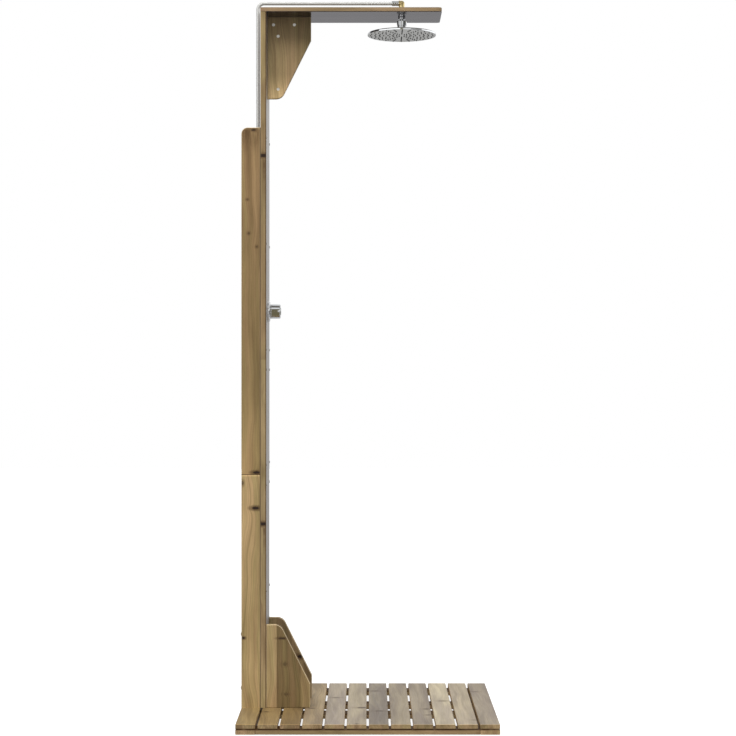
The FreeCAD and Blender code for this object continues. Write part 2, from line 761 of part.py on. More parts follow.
def nut_places():
    """Every barrel nut's placement, gusset by gusset."""
    places = []
    near = (DECK_TOP, "+", f"(-{GUSSET_CENTRE})")
    far = (DECK_TOP, "+", GUSSET_CENTRE)
    for edge, way, y in ((ARM_FACE, "-", "0"), near, far):
        for x, z in UPRIGHT_NUTS:
            places.append(at(f"{POST_FACE} + {x}", y, f"{edge} {way} {z}"))
        for x, z in CROSS_NUTS:
            places.append(at(f"{POST_FACE} + {x}", y, f"{edge} {way} {z}", TOWARDS["+x"]))
    return places


node(scattered("barrel_nuts", make_barrel_nut(), nut_places()))


def make_screw(label, length, base=("0", "0", "0"), direction="+z"):
    screw = new_body(label, base, TOWARDS[direction])
    head_radius, radius = "Spec.screw_head_diameter / 2", "Spec.screw_diameter / 2"
    fastener(screw, head_radius, "Spec.screw_head_height", radius, length)
    return screw


panel_screw = make_screw("panel_screw", "Spec.panel_screw_length")
screw_places = [
    at(POST_FACE, f"{side}{SIDE_CENTRE}", z, TOWARDS["-x"])
    for side in ("-", "+")
    for z in SCREW_HEIGHTS
]
node(scattered("panel_screws", panel_screw, screw_places))

# ---- Valve ----------------------------------------------------------------------------------------

# Along X from the front board's rear face.
ESCUTCHEON_FRONT = f"({PANEL} + Spec.escutcheon_depth)"
NECK_END = f"({PANEL} + Spec.valve_neck_reach)"
KNOB_REAR = f"({ESCUTCHEON_FRONT} + Spec.knob_gap)"
VALVE_BASE = (BOARD_REAR, "0", VALVE_Z)
HOSE_LINE = "(-Spec.hose_setback)"


def make_valve_body():
    """A barrel behind the board, its threaded neck through it, an inlet below and an outlet above."""
    valve = new_body("valve_body", VALVE_BASE)
    flange = "(-Spec.valve_flange_thickness)"
    turn(valve, "x", [
        ("(-Spec.valve_barrel_depth)", "0"),
        ("(-Spec.valve_barrel_depth)", "Spec.valve_barrel_radius - Spec.chamfer"),
        ("Spec.chamfer - Spec.valve_barrel_depth", "Spec.valve_barrel_radius"),
        (flange, "Spec.valve_barrel_radius"),
        (flange, "Spec.valve_flange_radius"),
        ("0", "Spec.valve_flange_radius"),
        ("0", "Spec.valve_neck_radius"),
        (NECK_END, "Spec.valve_neck_radius"),
        (NECK_END, "0"),
    ])
    spigot = (HOSE_LINE, "0", "-Spec.spigot_reach")
    rod(valve, "+z", spigot, "Spec.spigot_radius", "2 * Spec.spigot_reach")
    drill(valve, "+z", spigot, "Spec.water_way_radius", "2 * Spec.spigot_reach")
    depth = f"{NECK_END} + Spec.cartridge_depth"
    drill(valve, "+x", ("-Spec.cartridge_depth", "0", "0"), "Spec.cartridge_radius", depth)
    return valve


def make_cartridge():
    """The ceramic cartridge: a plug in the valve's chamber with a cross way and a spindle bore."""
    cartridge = new_body("valve_cartridge", VALVE_BASE)
    radius = "Spec.cartridge_radius - Spec.screw_clearance"
    rear, front = "(-Spec.cartridge_depth)", f"({NECK_END} - Spec.cartridge_setback)"
    turn(cartridge, "x", [(rear, "0"), (rear, radius), (front, radius), (front, "0")])
    place = (HOSE_LINE, "0", "-Spec.cartridge_radius")
    drill(cartridge, "+z", place, "Spec.water_way_radius", "2 * Spec.cartridge_radius")
    bore = "Spec.spindle_radius + Spec.running_clearance"
    drill(cartridge, "+x", ("0", "0", "0"), bore, front)
    return cartridge


def make_lock_nut():
    nut = new_body("valve_lock_nut", VALVE_BASE)
    place = (PANEL, "0", "0")
    hexagon(nut, "AdditivePrism", "+x", place, "Spec.lock_nut_width", "Spec.lock_nut_thickness")
    bore = "Spec.valve_neck_radius + Spec.screw_clearance"
    drill(nut, "+x", place, bore, "Spec.lock_nut_thickness")
    return nut


def make_escutcheon():
    """A shallow cup over the lock nut, open towards the post."""
    cup = new_body("escutcheon", VALVE_BASE)
    outer = "(Spec.escutcheon_diameter / 2)"
    inner = f"({outer} - Spec.escutcheon_wall)"
    bore = "(Spec.valve_neck_radius + Spec.screw_clearance)"
    face = f"({ESCUTCHEON_FRONT} - Spec.escutcheon_wall)"
    turn(cup, "x", [
        (PANEL, inner),
        (PANEL, outer),
        (f"{ESCUTCHEON_FRONT} - Spec.chamfer", outer),
        (ESCUTCHEON_FRONT, f"{outer} - Spec.chamfer"),
        (ESCUTCHEON_FRONT, bore),
        (face, bore),
        (face, f"{inner} - Spec.chamfer"),
        (f"{face} - Spec.chamfer", inner),
    ])
    return cup


UNION_Z = "(Spec.spigot_reach - Spec.union_engagement)"


def make_union(label, direction):
    """A hexagonal nut on a spigot, from which it runs away along the direction."""
    union = new_body(label, (HOSE_X, "0", VALVE_Z), TOWARDS[direction])
    place = ("0", "0", UNION_Z)
    hexagon(union, "AdditivePrism", "+z", place, "Spec.union_width", "Spec.union_length")
    drill(union, "+z", place, SPIGOT_HOLE, "Spec.union_engagement")
    return union


def make_hose_union():
    union = make_union("hose_union_nut", "+z")
    lip = "Spec.union_length - Spec.union_engagement"
    drill(union, "+z", ("0", "0", "Spec.spigot_reach"), HOSE_BORE, lip)
    return union


def make_inlet_connector():
    """An angled hose connector on the lower spigot; its nose points out of the open back."""
    inlet = make_union("inlet_connector", "-z")
    start = f"({UNION_Z} + Spec.union_length)"
    corner = ("0", "0", f"{start} + Spec.inlet_drop")
    radius = "Spec.inlet_body_radius"
    rod(inlet, "+z", ("0", "0", start), radius, "Spec.inlet_drop")
    primitive(inlet, "AdditiveSphere", "+z", corner, Radius=radius)
    rod(inlet, "-x", corner, radius, "Spec.inlet_body_reach")
    rim = ("-Spec.inlet_nose_start + Spec.inlet_rim_width", "0", corner[2])
    rim_radius = "Spec.inlet_nose_radius + Spec.inlet_rim_height"
    rod(inlet, "-x", rim, rim_radius, "Spec.inlet_rim_width")
    reach = "Spec.inlet_nose_start + Spec.inlet_nose_length"
    rod(inlet, "-x", corner, "Spec.inlet_nose_radius", reach)
    way = f"{corner[2]} - Spec.spigot_reach"
    drill(inlet, "+z", ("0", "0", "Spec.spigot_reach"), "Spec.water_way_radius", way)
    drill(inlet, "-x", corner, "Spec.water_way_radius", reach)
    return inlet


node(make_valve_body())
node(make_cartridge())
node(make_lock_nut())
node(make_escutcheon())
node(make_hose_union())
node(make_inlet_connector())

# ---- Knob -----------------------------------------------------------------------------------------

KNOB_BASE = (f"{BOARD_REAR} + {KNOB_REAR}", "0", VALVE_Z)
SPINDLE_END = "(Spec.knob_length - Spec.knob_cap_thickness - Spec.spindle_setback)"
KNOB_FACE = "(Spec.knob_length - Spec.knob_cap_thickness + Spec.knob_cap_proud)"
SCREW_SEAT = f"({SPINDLE_END} + Spec.knob_gap)"


def make_knob():
    """A hollow knob: a thin wall, a hub on the spindle and a recess for the cap."""
    knob = new_body("valve_knob", KNOB_BASE)
    outer = "(Spec.knob_diameter / 2)"
    inner = f"({outer} - Spec.knob_wall)"
    hub = "(Spec.spindle_radius + Spec.knob_hub_wall)"
    cap = "(Spec.knob_cap_diameter / 2)"
    bore = "(Spec.spindle_radius + Spec.screw_clearance)"
    web = f"({KNOB_FACE} - Spec.knob_web_depth)"
    screw_head = "Spec.screw_head_diameter / 2 + Spec.screw_head_play"
    turn(knob, "x", [
        ("0", inner),
        ("0", f"{outer} - Spec.small_chamfer"),
        ("Spec.small_chamfer", outer),
        ("Spec.knob_length - Spec.knob_front_chamfer", outer),
        ("Spec.knob_length", f"{outer} - Spec.knob_front_chamfer"),
        ("Spec.knob_length", cap),
        (KNOB_FACE, cap),
        (KNOB_FACE, screw_head),
        (SCREW_SEAT, screw_head),
        (SCREW_SEAT, SCREW_HOLE),
        (SPINDLE_END, SCREW_HOLE),
        (SPINDLE_END, bore),
        ("Spec.knob_gap", bore),
        ("Spec.knob_gap", hub),
        (web, hub),
        (web, inner),
    ])
    return knob


def make_knob_cap():
    cap = new_body("knob_cap", KNOB_BASE)
    radius = "(Spec.knob_cap_diameter / 2 - Spec.screw_clearance)"
    front = f"({KNOB_FACE} + Spec.knob_cap_thickness)"
    turn(cap, "x", [
        (KNOB_FACE, "0"),
        (KNOB_FACE, radius),
        (f"{front} - Spec.small_chamfer", radius),
        (front, f"{radius} - Spec.small_chamfer"),
        (front, "0"),
    ])
    return cap


def make_spindle():
    """The splined stem that the knob turns, drilled for the knob's screw."""
    spindle = new_body("valve_spindle", KNOB_BASE)
    rear = f"(Spec.knob_gap - {KNOB_REAR})"
    radius = "Spec.spindle_radius"
    turn(spindle, "x", [(rear, "0"), (rear, radius), (SPINDLE_END, radius), (SPINDLE_END, "0")])
    depth = "(Spec.knob_screw_length + Spec.hole_overrun)"
    drill(spindle, "+x", (f"{SPINDLE_END} - {depth}", "0", "0"), SCREW_HOLE, depth)
    return spindle


node(make_knob())
node(make_knob_cap())
node(make_spindle())
screw_seat = (f"{KNOB_BASE[0]} + {SCREW_SEAT}", "0", VALVE_Z)
node(make_screw("knob_screw", "Spec.knob_screw_length", screw_seat, "-x"))

# ---- Riser hose and its fittings ------------------------------------------------------------------


def make_hose():
    """Up behind the board from the valve, one bend over its top, then along the arm to the elbow."""
    hose = new_body("riser_hose")
    route = sketch_on(hose, "XZ_Plane")
    bend_foot = f"({HOSE_Z} - Spec.hose_bend_radius)"
    bend_end = f"({HOSE_X} + Spec.hose_bend_radius)"
    corners = [(HOSE_X, HOSE_FOOT), (HOSE_X, bend_foot), (bend_end, HOSE_Z), (ELBOW_FACE, HOSE_Z)]
    foot, start, end, face = [FreeCAD.Vector(value(x), value(z), 0) for x, z in corners]
    radius = value("Spec.hose_bend_radius")
    centre = FreeCAD.Vector(end.x, start.y, 0)
    middle = centre + (start + end - centre * 2).normalize() * radius
    route.addGeometry(Part.LineSegment(foot, start), False)
    route.addGeometry(Part.Arc(start, middle, end), False)
    route.addGeometry(Part.LineSegment(end, face), False)
    # The arc runs clockwise, so the sketch counts its end as its first point.
    route.addConstraint(Sketcher.Constraint("Coincident", 0, 2, 1, 2))
    route.addConstraint(Sketcher.Constraint("Coincident", 1, 1, 2, 1))
    for i, (edge, point) in enumerate(((0, 1), (0, 2), (2, 1), (2, 2))):
        fix(route, "DistanceX", f"x{i}", (-1, 1, edge, point), corners[i][0])
        fix(route, "DistanceY", f"z{i}", (-1, 1, edge, point), corners[i][1])
    fix(route, "Radius", "bend", (1,), "Spec.hose_bend_radius")
    section = sketch_on(hose, "XY_Plane")
    section.setExpression("AttachmentOffset.Base.z", HOSE_FOOT)
    section.addGeometry(Part.Circle(FreeCAD.Vector(foot.x, 0, 0), Z_AXIS, 1), False)
    fix(section, "DistanceX", "x", (-1, 1, 0, 3), HOSE_X)
    fix(section, "DistanceY", "y", (-1, 1, 0, 3), "0")
    fix(section, "Radius", "radius", (0,), "Spec.hose_diameter / 2")
    tube = hose.newObject("PartDesign::AdditivePipe", "riser_hose_pipe")
    tube.Profile = section
    tube.Spine = (route, ["Edge1", "Edge2", "Edge3"])
    return hose


def make_ferrule():
    """A sleeve crimped on the hose, with two crimp grooves; it starts at z = 0."""
    ferrule = new_body("hose_ferrule")
    outer, groove = "Spec.ferrule_radius", "(Spec.ferrule_radius - Spec.ferrule_groove)"
    shares = (0, 0.3, 0.35, 0.45, 0.5, 0.65, 0.7, 0.8, 0.85, 1)
    radii = (outer, outer, groove, groove, outer, outer, groove, groove, outer, outer)
    profile = [("0", HOSE_BORE)]
    profile += [(f"Spec.ferrule_length * {share}", radius) for share, radius in zip(shares, radii)]
    profile += [("Spec.ferrule_length", HOSE_BORE)]
    turn(ferrule, "z", profile)
    return ferrule


def make_clips():
    """C-shaped clips, each on a plug in the board; the hose snaps in from behind."""
    clips = new_body("hose_clips", (BOARD_REAR, "0", CLIP_HEIGHTS[0]))
    centre = "(-Spec.hose_setback)"
    outer = f"({HOSE_BORE} + Spec.clip_wall)"
    mouth = f"({HOSE_BORE} * Spec.clip_mouth_share)"
    foot = f"({outer} * Spec.clip_foot_share)"

    def on_circle(radius, sign, height):
        return f"{centre} {sign} sqrt({radius} ^ 2 - {height} ^ 2)"

    corners = [
        (f"{centre} + {HOSE_BORE}", "0"),
        (on_circle(HOSE_BORE, "-", mouth), mouth),
        (on_circle(outer, "-", mouth), mouth),
        (on_circle(outer, "+", foot), foot),
        ("0", foot),
        ("0", f"-{foot}"),
        (on_circle(outer, "+", foot), f"-{foot}"),
        (on_circle(outer, "-", mouth), f"-{mouth}"),
        (on_circle(HOSE_BORE, "-", mouth), f"-{mouth}"),
    ]
    section = sketch_on(clips, "XY_Plane")
    outline(section, corners, {0: (HOSE_BORE, -1), 2: (outer, 1), 6: (outer, 1), 8: (HOSE_BORE, -1)})
    ring = body_pad(clips, section, "Spec.clip_width", symmetric=True)
    circle = sketch_on(clips, "YZ_Plane")
    circle.addGeometry(Part.Circle(FreeCAD.Vector(), Z_AXIS, 1), False)
    circle.addConstraint(Sketcher.Constraint("Coincident", 0, 3, -1, 1))
    fix(circle, "Radius", "radius", (0,), f"{CLIP_PLUG} - Spec.screw_clearance")
    plug = body_pad(clips, circle, CLIP_PLUG_DEPTH)
    pair(clips, [ring, plug], ("z", "Spec.clip_pitch"))
    return clips


def make_elbow():
    """A brass elbow on the arm: hexagonal foot, round leg, ball corner and a short side socket."""
    elbow = new_body("brass_elbow", (HEAD_X, "0", ARM_TOP))
    lift, radius = "Spec.hose_lift", "Spec.elbow_radius"
    foot = ("Spec.elbow_hex_width", "Spec.elbow_hex_height")
    hexagon(elbow, "AdditivePrism", "+z", ("0", "0", "0"), *foot)
    rod(elbow, "+z", ("0", "0", "0"), radius, lift)
    primitive(elbow, "AdditiveSphere", "+z", ("0", "0", lift), Radius=radius)
    rod(elbow, "-x", ("0", "0", lift), radius, "Spec.elbow_reach")
    drill(elbow, "+z", ("0", "0", "0"), SPIGOT_HOLE, "Spec.nipple_engagement + Spec.hole_overrun")
    drill(elbow, "+z", ("0", "0", "0"), "Spec.water_way_radius", lift)
    drill(elbow, "-x", ("0", "0", lift), "Spec.water_way_radius", "Spec.elbow_reach")
    return elbow


node(make_hose())
upper_ferrule = at(ELBOW_FACE, "0", HOSE_Z, TOWARDS["-x"])
lower_ferrule = at(HOSE_X, "0", f"{VALVE_Z} + {UNION_Z} + Spec.union_length")
node(scattered("hose_ferrules", make_ferrule(), [upper_ferrule, lower_ferrule]))
node(make_clips())
node(make_elbow())

# ---- Ball joint -----------------------------------------------------------------------------------

BALL_BASE = (HEAD_X, "0", BALL_Z)
RING_INNER = "(Spec.ball_radius + Spec.ring_clearance)"
RING_OUTER = f"({RING_INNER} + Spec.ring_wall)"
SOCKET = f"({RING_OUTER} + Spec.socket_clearance)"


def make_ball_stud():
    """A hollow stud: a ball below, a collar under the arm and a threaded nipple up through it."""
    stud = new_body("ball_stud", BALL_BASE)
    shoulder = "(Spec.ball_drop - Spec.ball_collar_height)"
    tip = "(Spec.ball_drop + Spec.facing_thickness + Spec.arm_thickness + Spec.nipple_engagement)"
    primitive(stud, "AdditiveSphere", "+z", ("0", "0", "0"), Radius="Spec.ball_radius")
    turn(stud, "z", [
        ("0", "0"),
        ("0", "Spec.ball_neck_radius"),
        (shoulder, "Spec.ball_neck_radius"),
        (shoulder, "Spec.ball_collar_radius - Spec.small_chamfer"),
        (f"{shoulder} + Spec.small_chamfer", "Spec.ball_collar_radius"),
        ("Spec.ball_drop", "Spec.ball_collar_radius"),
        ("Spec.ball_drop", "Spec.spigot_radius"),
        (tip, "Spec.spigot_radius"),
        (tip, "0"),
    ])
    low = ("0", "0", "-Spec.ball_radius")
    drill(stud, "+z", low, "Spec.ball_bore_radius", f"Spec.ball_radius + {tip}")
    return stud


def make_liner(label, low_angle, high_angle):
    """A spherical liner between two latitudes of the ball."""
    liner = new_body(label, BALL_BASE)
    centre = ("0", "0", "0")
    primitive(liner, "AdditiveSphere", "+z", centre, Radius=RING_OUTER, Angle1=low_angle,
              Angle2=high_angle)
    primitive(liner, "SubtractiveSphere", "+z", centre, Radius=RING_INNER)
    return liner


def make_swivel_nut():
    """The bell-shaped nut that hangs on the upper liner and screws on the head's hub."""
    nut = new_body("swivel_nut", BALL_BASE)
    outer, top, skirt = "Spec.swivel_nut_radius", "Spec.swivel_nut_top", "(-Spec.swivel_nut_skirt)"
    thread = "(Spec.hub_thread_radius + Spec.screw_clearance)"
    mouth = f"({outer} - Spec.swivel_nut_mouth)"
    turn(nut, "z", [
        (skirt, thread),
        (skirt, f"{outer} - Spec.chamfer"),
        (f"{top} - Spec.swivel_nut_shoulder", outer),
        (f"{top} - Spec.small_chamfer", f"{mouth} + Spec.chamfer"),
        (top, mouth),
        (top, "0"),
        ("0", "0"),
        ("0", thread),
    ])
    centre = ("0", "0", "0")
    primitive(nut, "SubtractiveSphere", "+z", centre, Radius=SOCKET)
    height = f"({top} + Spec.hole_overrun)"
    opening = primitive(nut, "SubtractiveCone", "+z", centre, Height=height,
                        Radius2=f"{height} * tan(Spec.lip_angle)")
    opening.Radius1 = 0
    return nut


def make_head_back():
    """The head's domed back: hub with the lower half of the socket, dome, rim and face ledge."""
    back = new_body("head_back", BALL_BASE)
    rim = "(Spec.head_diameter / 2)"
    inner = f"({rim} - Spec.head_wall)"
    skirt = "(-Spec.swivel_nut_skirt - Spec.screw_clearance)"
    rim_top = "(Spec.head_rim_height - Spec.head_drop)"
    ledge = "(Spec.face_recess + Spec.face_thickness - Spec.head_drop)"
    hub = "Spec.hub_thread_radius"
    floor = f"(-{SOCKET} - Spec.hub_floor)"
    turn(back, "z", [
        ("-Spec.hub_setback", "0"),
        ("-Spec.hub_setback", hub),
        (skirt, hub),
        (skirt, f"{hub} + Spec.hub_ledge"),
        (f"{skirt} - Spec.hub_neck_length", f"{hub} + Spec.hub_neck_ledge"),
        (f"{rim_top} + Spec.head_dome_rise", f"{hub} + Spec.hub_flare"),
        (rim_top, f"{rim} - Spec.chamfer"),
        (f"{rim_top} - Spec.chamfer", rim),
        ("Spec.small_chamfer - Spec.head_drop", rim),
        ("-Spec.head_drop", f"{rim} - Spec.small_chamfer"),
        ("-Spec.head_drop", inner),
        (ledge, inner),
        (ledge, f"{inner} - Spec.chamfer"),
        (f"{rim_top} - Spec.chamfer", f"{inner} - Spec.chamfer"),
        (f"{rim_top} + Spec.head_cavity_rise", f"{hub} + Spec.hub_flare - Spec.small_chamfer"),
        (floor, f"{hub} - Spec.hub_floor - Spec.small_chamfer"),
        (floor, "0"),
    ], {5: ("Spec.head_dome_radius", 1), 13: ("Spec.head_dome_radius", -1)})
    primitive(back, "SubtractiveSphere", "+z", ("0", "0", "0"), Radius=SOCKET)
    depth = f"-{floor} + Spec.hole_overrun"
    drill(back, "-z", ("0", "0", "0"), "Spec.water_way_radius", depth)
    return back


def make_face():
    face = new_body("head_face", BALL_BASE)
    radius = "(Spec.head_diameter / 2 - Spec.head_wall - Spec.screw_clearance)"
    low = "(Spec.face_recess - Spec.head_drop)"
    high = f"({low} + Spec.face_thickness)"
    turn(face, "z", [(low, "0"), (low, radius), (high, radius), (high, "0")])
    return face


def make_nozzles():
    """Rows of soft nozzle tips on the face, as small tapered prisms."""
    tip = new_body("nozzle_tip")
    wide = sketch_on(tip, "XY_Plane")
    narrow = sketch_on(tip, "XY_Plane")
    narrow.setExpression("AttachmentOffset.Base.z", "-Spec.nozzle_reach")
    outline(wide, hexagon_corners("Spec.nozzle_radius"))
    outline(narrow, hexagon_corners("(Spec.nozzle_radius * Spec.nozzle_taper)"))
    loft = tip.newObject("PartDesign::AdditiveLoft", "nozzle_loft")
    loft.Profile = wide
    loft.Sections = [narrow]
    low = f"{BALL_Z} + Spec.face_recess - Spec.head_drop"
    places = []
    for ring, count in enumerate(NOZZLE_RINGS):
        radius = f"(Spec.nozzle_first_ring + {ring} * Spec.nozzle_ring_pitch)"
        for i in range(count):
            angle = 360 * i / count
            places.append(at(f"{HEAD_X} + {radius} * cos({angle})", f"{radius} * sin({angle})", low))
    return scattered("head_nozzles", tip, places)


node(make_ball_stud())
node(make_liner("swivel_ring", "Spec.ring_low_angle", "Spec.ring_high_angle"))
node(make_liner("ball_seat", "Spec.seat_low_angle", "-Spec.ring_low_angle"))
node(make_swivel_nut())
node(make_head_back())
node(make_face())
node(make_nozzles())

# ---- Checks and files -----------------------------------------------------------------------------

doc.recompute()
for item in doc.Objects:
    if "Invalid" in item.State or "Error" in item.State:
        raise RuntimeError(f"{item.Label} failed: {item.State}")
for piece in NODES:
    if piece.Shape.isNull() or not piece.Shape.isValid():
        raise RuntimeError(f"{piece.Label} has no valid shape")
os.makedirs("parts", exist_ok=True)
for piece in NODES:
    piece.Shape.exportStep(f"parts/{piece.Label}.step")
print(f"{len(NODES)} nodes written")
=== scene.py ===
import json
import math

import bpy
from mathutils import Matrix, Vector


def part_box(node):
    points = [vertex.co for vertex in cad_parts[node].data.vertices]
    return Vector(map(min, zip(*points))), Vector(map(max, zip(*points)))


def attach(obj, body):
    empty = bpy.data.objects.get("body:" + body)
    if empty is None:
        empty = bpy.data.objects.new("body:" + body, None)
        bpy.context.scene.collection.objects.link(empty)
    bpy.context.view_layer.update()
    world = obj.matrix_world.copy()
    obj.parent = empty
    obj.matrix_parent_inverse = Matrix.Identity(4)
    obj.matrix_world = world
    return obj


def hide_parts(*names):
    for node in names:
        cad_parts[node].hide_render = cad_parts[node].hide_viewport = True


# Outdoor shower post. X runs towards the end of the arm, Y away from the camera and Z up.
# Metres throughout, except that turned profiles and the sizes they are made of are in millimetres.

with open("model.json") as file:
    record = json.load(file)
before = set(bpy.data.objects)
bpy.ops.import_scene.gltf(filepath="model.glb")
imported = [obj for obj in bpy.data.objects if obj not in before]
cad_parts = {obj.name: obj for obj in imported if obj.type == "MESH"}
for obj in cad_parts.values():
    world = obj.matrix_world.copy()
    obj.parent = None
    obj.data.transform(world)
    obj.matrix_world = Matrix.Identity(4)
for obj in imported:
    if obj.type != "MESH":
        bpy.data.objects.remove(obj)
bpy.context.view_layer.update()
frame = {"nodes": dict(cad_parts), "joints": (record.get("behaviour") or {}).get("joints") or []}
NODES = frame["nodes"]
JOINTS = {joint["name"]: joint for joint in frame["joints"]}
MM = 0.001


def srgb(red, green, blue):
    """A screen colour, 0 to 255, as linear light."""
    parts = [c / 255 for c in (red, green, blue)]
    linear = [c / 12.92 if c <= 0.04045 else ((c + 0.055) / 1.055) ** 2.4 for c in parts]
    return (*linear, 1.0)


def scaled(colour, *factors):
    """A colour with its parts multiplied, by one factor or by one for each part."""
    factors = factors * 3 if len(factors) == 1 else factors
    return tuple(min(part * factor, 1.0) for part, factor in zip(colour[:3], factors)) + (1.0,)


# ---- Node trees -----------------------------------------------------------------------------------


class Shader:
    """A node tree, built by short calls. Values may be numbers, colours or sockets."""

    # A Mix node has a set of sockets for each kind of value; these are the ones for colours.
    MIX_FACTOR, MIX_FIRST, MIX_SECOND, MIX_RESULT = 0, 6, 7, 2

    def __init__(self, name, owners=bpy.data.materials):
        self.owner = owners.new(name)
        self.owner.use_nodes = True
        self.tree = self.owner.node_tree
        self.tree.nodes.clear()
        self.coordinates = self.tree.nodes.new("ShaderNodeTexCoord")

    def feed(self, socket, value):
        if isinstance(value, bpy.types.NodeSocket):
            self.tree.links.new(value, socket)
        else:
            socket.default_value = value

    def node(self, kind, inputs=None, **settings):
        made = self.tree.nodes.new(f"ShaderNode{kind}")
        for name, setting in settings.items():
            setattr(made, name, setting)
        for name, value in (inputs or {}).items():
            self.feed(made.inputs[name], value)
        return made

    def math(self, operation, *values):
        return self.node("Math", dict(enumerate(values)), operation=operation).outputs[0]

    def add(self, *values):
        total = values[0]
        for value in values[1:]:
            total = self.math("ADD", total, value)
        return total

    def times(self, *values):
        product = values[0]
        for value in values[1:]:
            product = self.math("MULTIPLY", product, value)
        return product

    def vector(self, x, y, z):
        return self.node("CombineXYZ", {"X": x, "Y": y, "Z": z}).outputs[0]

    def split(self, vector):
        return self.node("SeparateXYZ", {"Vector": vector}).outputs

    def by_axis(self, coordinate):
        """A texture coordinate's parts by the name of their axis."""
        return dict(zip("xyz", self.split(self.coordinates.outputs[coordinate])))

    def noise(self, vector, detail=2.0, roughness=0.5, scale=1.0):
        inputs = {"Vector": vector, "Scale": scale, "Detail": detail, "Roughness": roughness}
        return self.node("TexNoise", inputs).outputs["Fac"]

    def stretched(self, parts, scales, shift=0.0, detail=2.0, roughness=0.5):
        """Noise with a scale of its own for each of three parts, shifted along the last one."""
        x, y, z = [self.times(part, scale) for part, scale in zip(parts, scales)]
        return self.noise(self.vector(x, y, self.add(z, shift)), detail, roughness)

    def span(self, value, low, high, to_low=0.0, to_high=1.0, smooth=True):
        """The value mapped from one range to another, held at both ends."""
        inputs = {"Value": value, "From Min": low, "From Max": high, "To Min": to_low, "To Max": to_high}
        kind = "SMOOTHSTEP" if smooth else "LINEAR"
        return self.node("MapRange", inputs, interpolation_type=kind).outputs[0]

    def ramp(self, value, *stops):
        made = self.node("ValToRGB", {"Fac": value})
        elements = made.color_ramp.elements
        while len(elements) < len(stops):
            elements.new(1.0)
        for element, (place, level) in zip(elements, stops):
            element.position = place
            element.color = (level, level, level, 1.0)
        return made.outputs["Color"]

    def mix(self, factor, first, second, blend="MIX"):
        made = self.node("Mix", data_type="RGBA", blend_type=blend)
        for index, value in ((self.MIX_FACTOR, factor), (self.MIX_FIRST, first), (self.MIX_SECOND, second)):
            self.feed(made.inputs[index], value)
        return made.outputs[self.MIX_RESULT]

    def bump(self, height, strength, distance):
        inputs = {"Height": height, "Strength": strength, "Distance": distance}
        return self.node("Bump", inputs).outputs[0]

    def finish(self, **inputs):
        """Ends the tree in a principled surface; names use _ for spaces."""
        named = {name.replace("_", " "): value for name, value in inputs.items()}
        surface = self.node("BsdfPrincipled", named)
        self.node("OutputMaterial", {"Surface": surface.outputs[0]})
        return self.owner


def paint(node, material):
    """Gives a CAD node one material."""
    mesh = NODES[node].data
    mesh.materials.clear()
    mesh.materials.append(material)


# ---- Wood -----------------------------------------------------------------------------------------
# In these functions board holds a place's three parts: u across the board, v deep into it, w along it.

KNOT_CORE = srgb(44, 30, 24)
KNOT_RIM = srgb(88, 64, 42)
# The colour of the painted highlight on the rounded edges of planed boards.
PLANED_EDGE_HIGHLIGHT = srgb(228, 206, 170)
RING_SPACING = 6.0 * MM
GLUE_LINE = 0.3 * MM
GRAIN_DRIFT = 0.012


def grain_bend(s, board, seed):
    """How far the grain strays across the board: a slow sway and a small wobble."""
    sway = s.stretched(board, (6.0, 6.0, 2.4), seed * 3.7)
    wobble = s.stretched(board, (25.0, 25.0, 11.0), seed * 1.7, detail=1.0)
    return s.add(s.times(s.add(sway, -0.5), 0.09), s.times(s.add(wobble, -0.5), 0.007))


def knot_streak(s, board, knot_along, half_length, length, shallow, deep):
    """The dark streak that a knot trails below itself, 0 to 1, between two depths in the board."""
    u, v, w = board
    drop = s.add(knot_along, s.times(w, -1.0))
    tail = s.times(s.span(drop, length, half_length * 0.5), s.span(v, shallow - MM, shallow + MM),
                   s.span(v, deep + MM, deep - MM))
    below = s.math("LESS_THAN", w, knot_along)
    broken = s.span(s.stretched((u, 0.0, w), (400.0, 1.0, 30.0)), 0.25, 0.6)
    return s.times(tail, below, broken)


def knot_marks(s, board, knots, bend):
    """The knots' cores, their halos with the streaks, 0 to 1, and the grain's bend with theirs added."""
    u, v, w = board
    core, halo = 0.0, 0.0
    for knot_across, knot_along, half_width, half_length, darkness, *streak in knots:
        aside = s.times(s.add(u, -knot_across), 1 / half_width)
        beyond = s.times(s.add(w, -knot_along), 1 / half_length)
        reach = s.add(s.times(aside, aside), s.times(beyond, beyond))
        frayed = s.noise(s.vector(u, v, w), 3.0, scale=330.0)
        ragged = s.add(reach, s.times(s.add(frayed, -0.5), 1.3))
        core = s.math("MAXIMUM", core, s.span(ragged, 1.2, 0.4, 0.0, darkness))
        halo = s.math("MAXIMUM", halo, s.span(ragged, 6.0, 0.8, 0.0, darkness))
        bend = s.add(bend, s.math("DIVIDE", half_width, s.add(s.times(reach, 0.5), 1.0)))
        if streak:
            trail = knot_streak(s, board, knot_along, half_length, *streak)
            halo = s.math("MAXIMUM", halo, s.times(trail, darkness))
    return core, halo, bend


def growth_rings(s, board, aside, pith, seed):
    """Growth rings round the pith line: dark late wood, uneven widths, some years stronger than others."""
    depth = s.add(board[1], pith)
    from_pith = s.math("SQRT", s.add(s.times(aside, aside), s.times(depth, depth)))
    uneven = s.stretched(board, (16.0, 16.0, 1.4), seed)
    count = s.add(s.times(from_pith, 1 / RING_SPACING), s.times(uneven, 2.2))
    ring = s.ramp(s.math("FRACT", count), (0.0, 0.05), (0.5, 0.25), (0.86, 1.0), (1.0, 0.0))
    year = s.noise(s.vector(s.math("FLOOR", count), 0.5, seed), 0.0, scale=3.1)
    return s.times(ring, s.span(year, 0.3, 0.7, 0.35, 1.0))


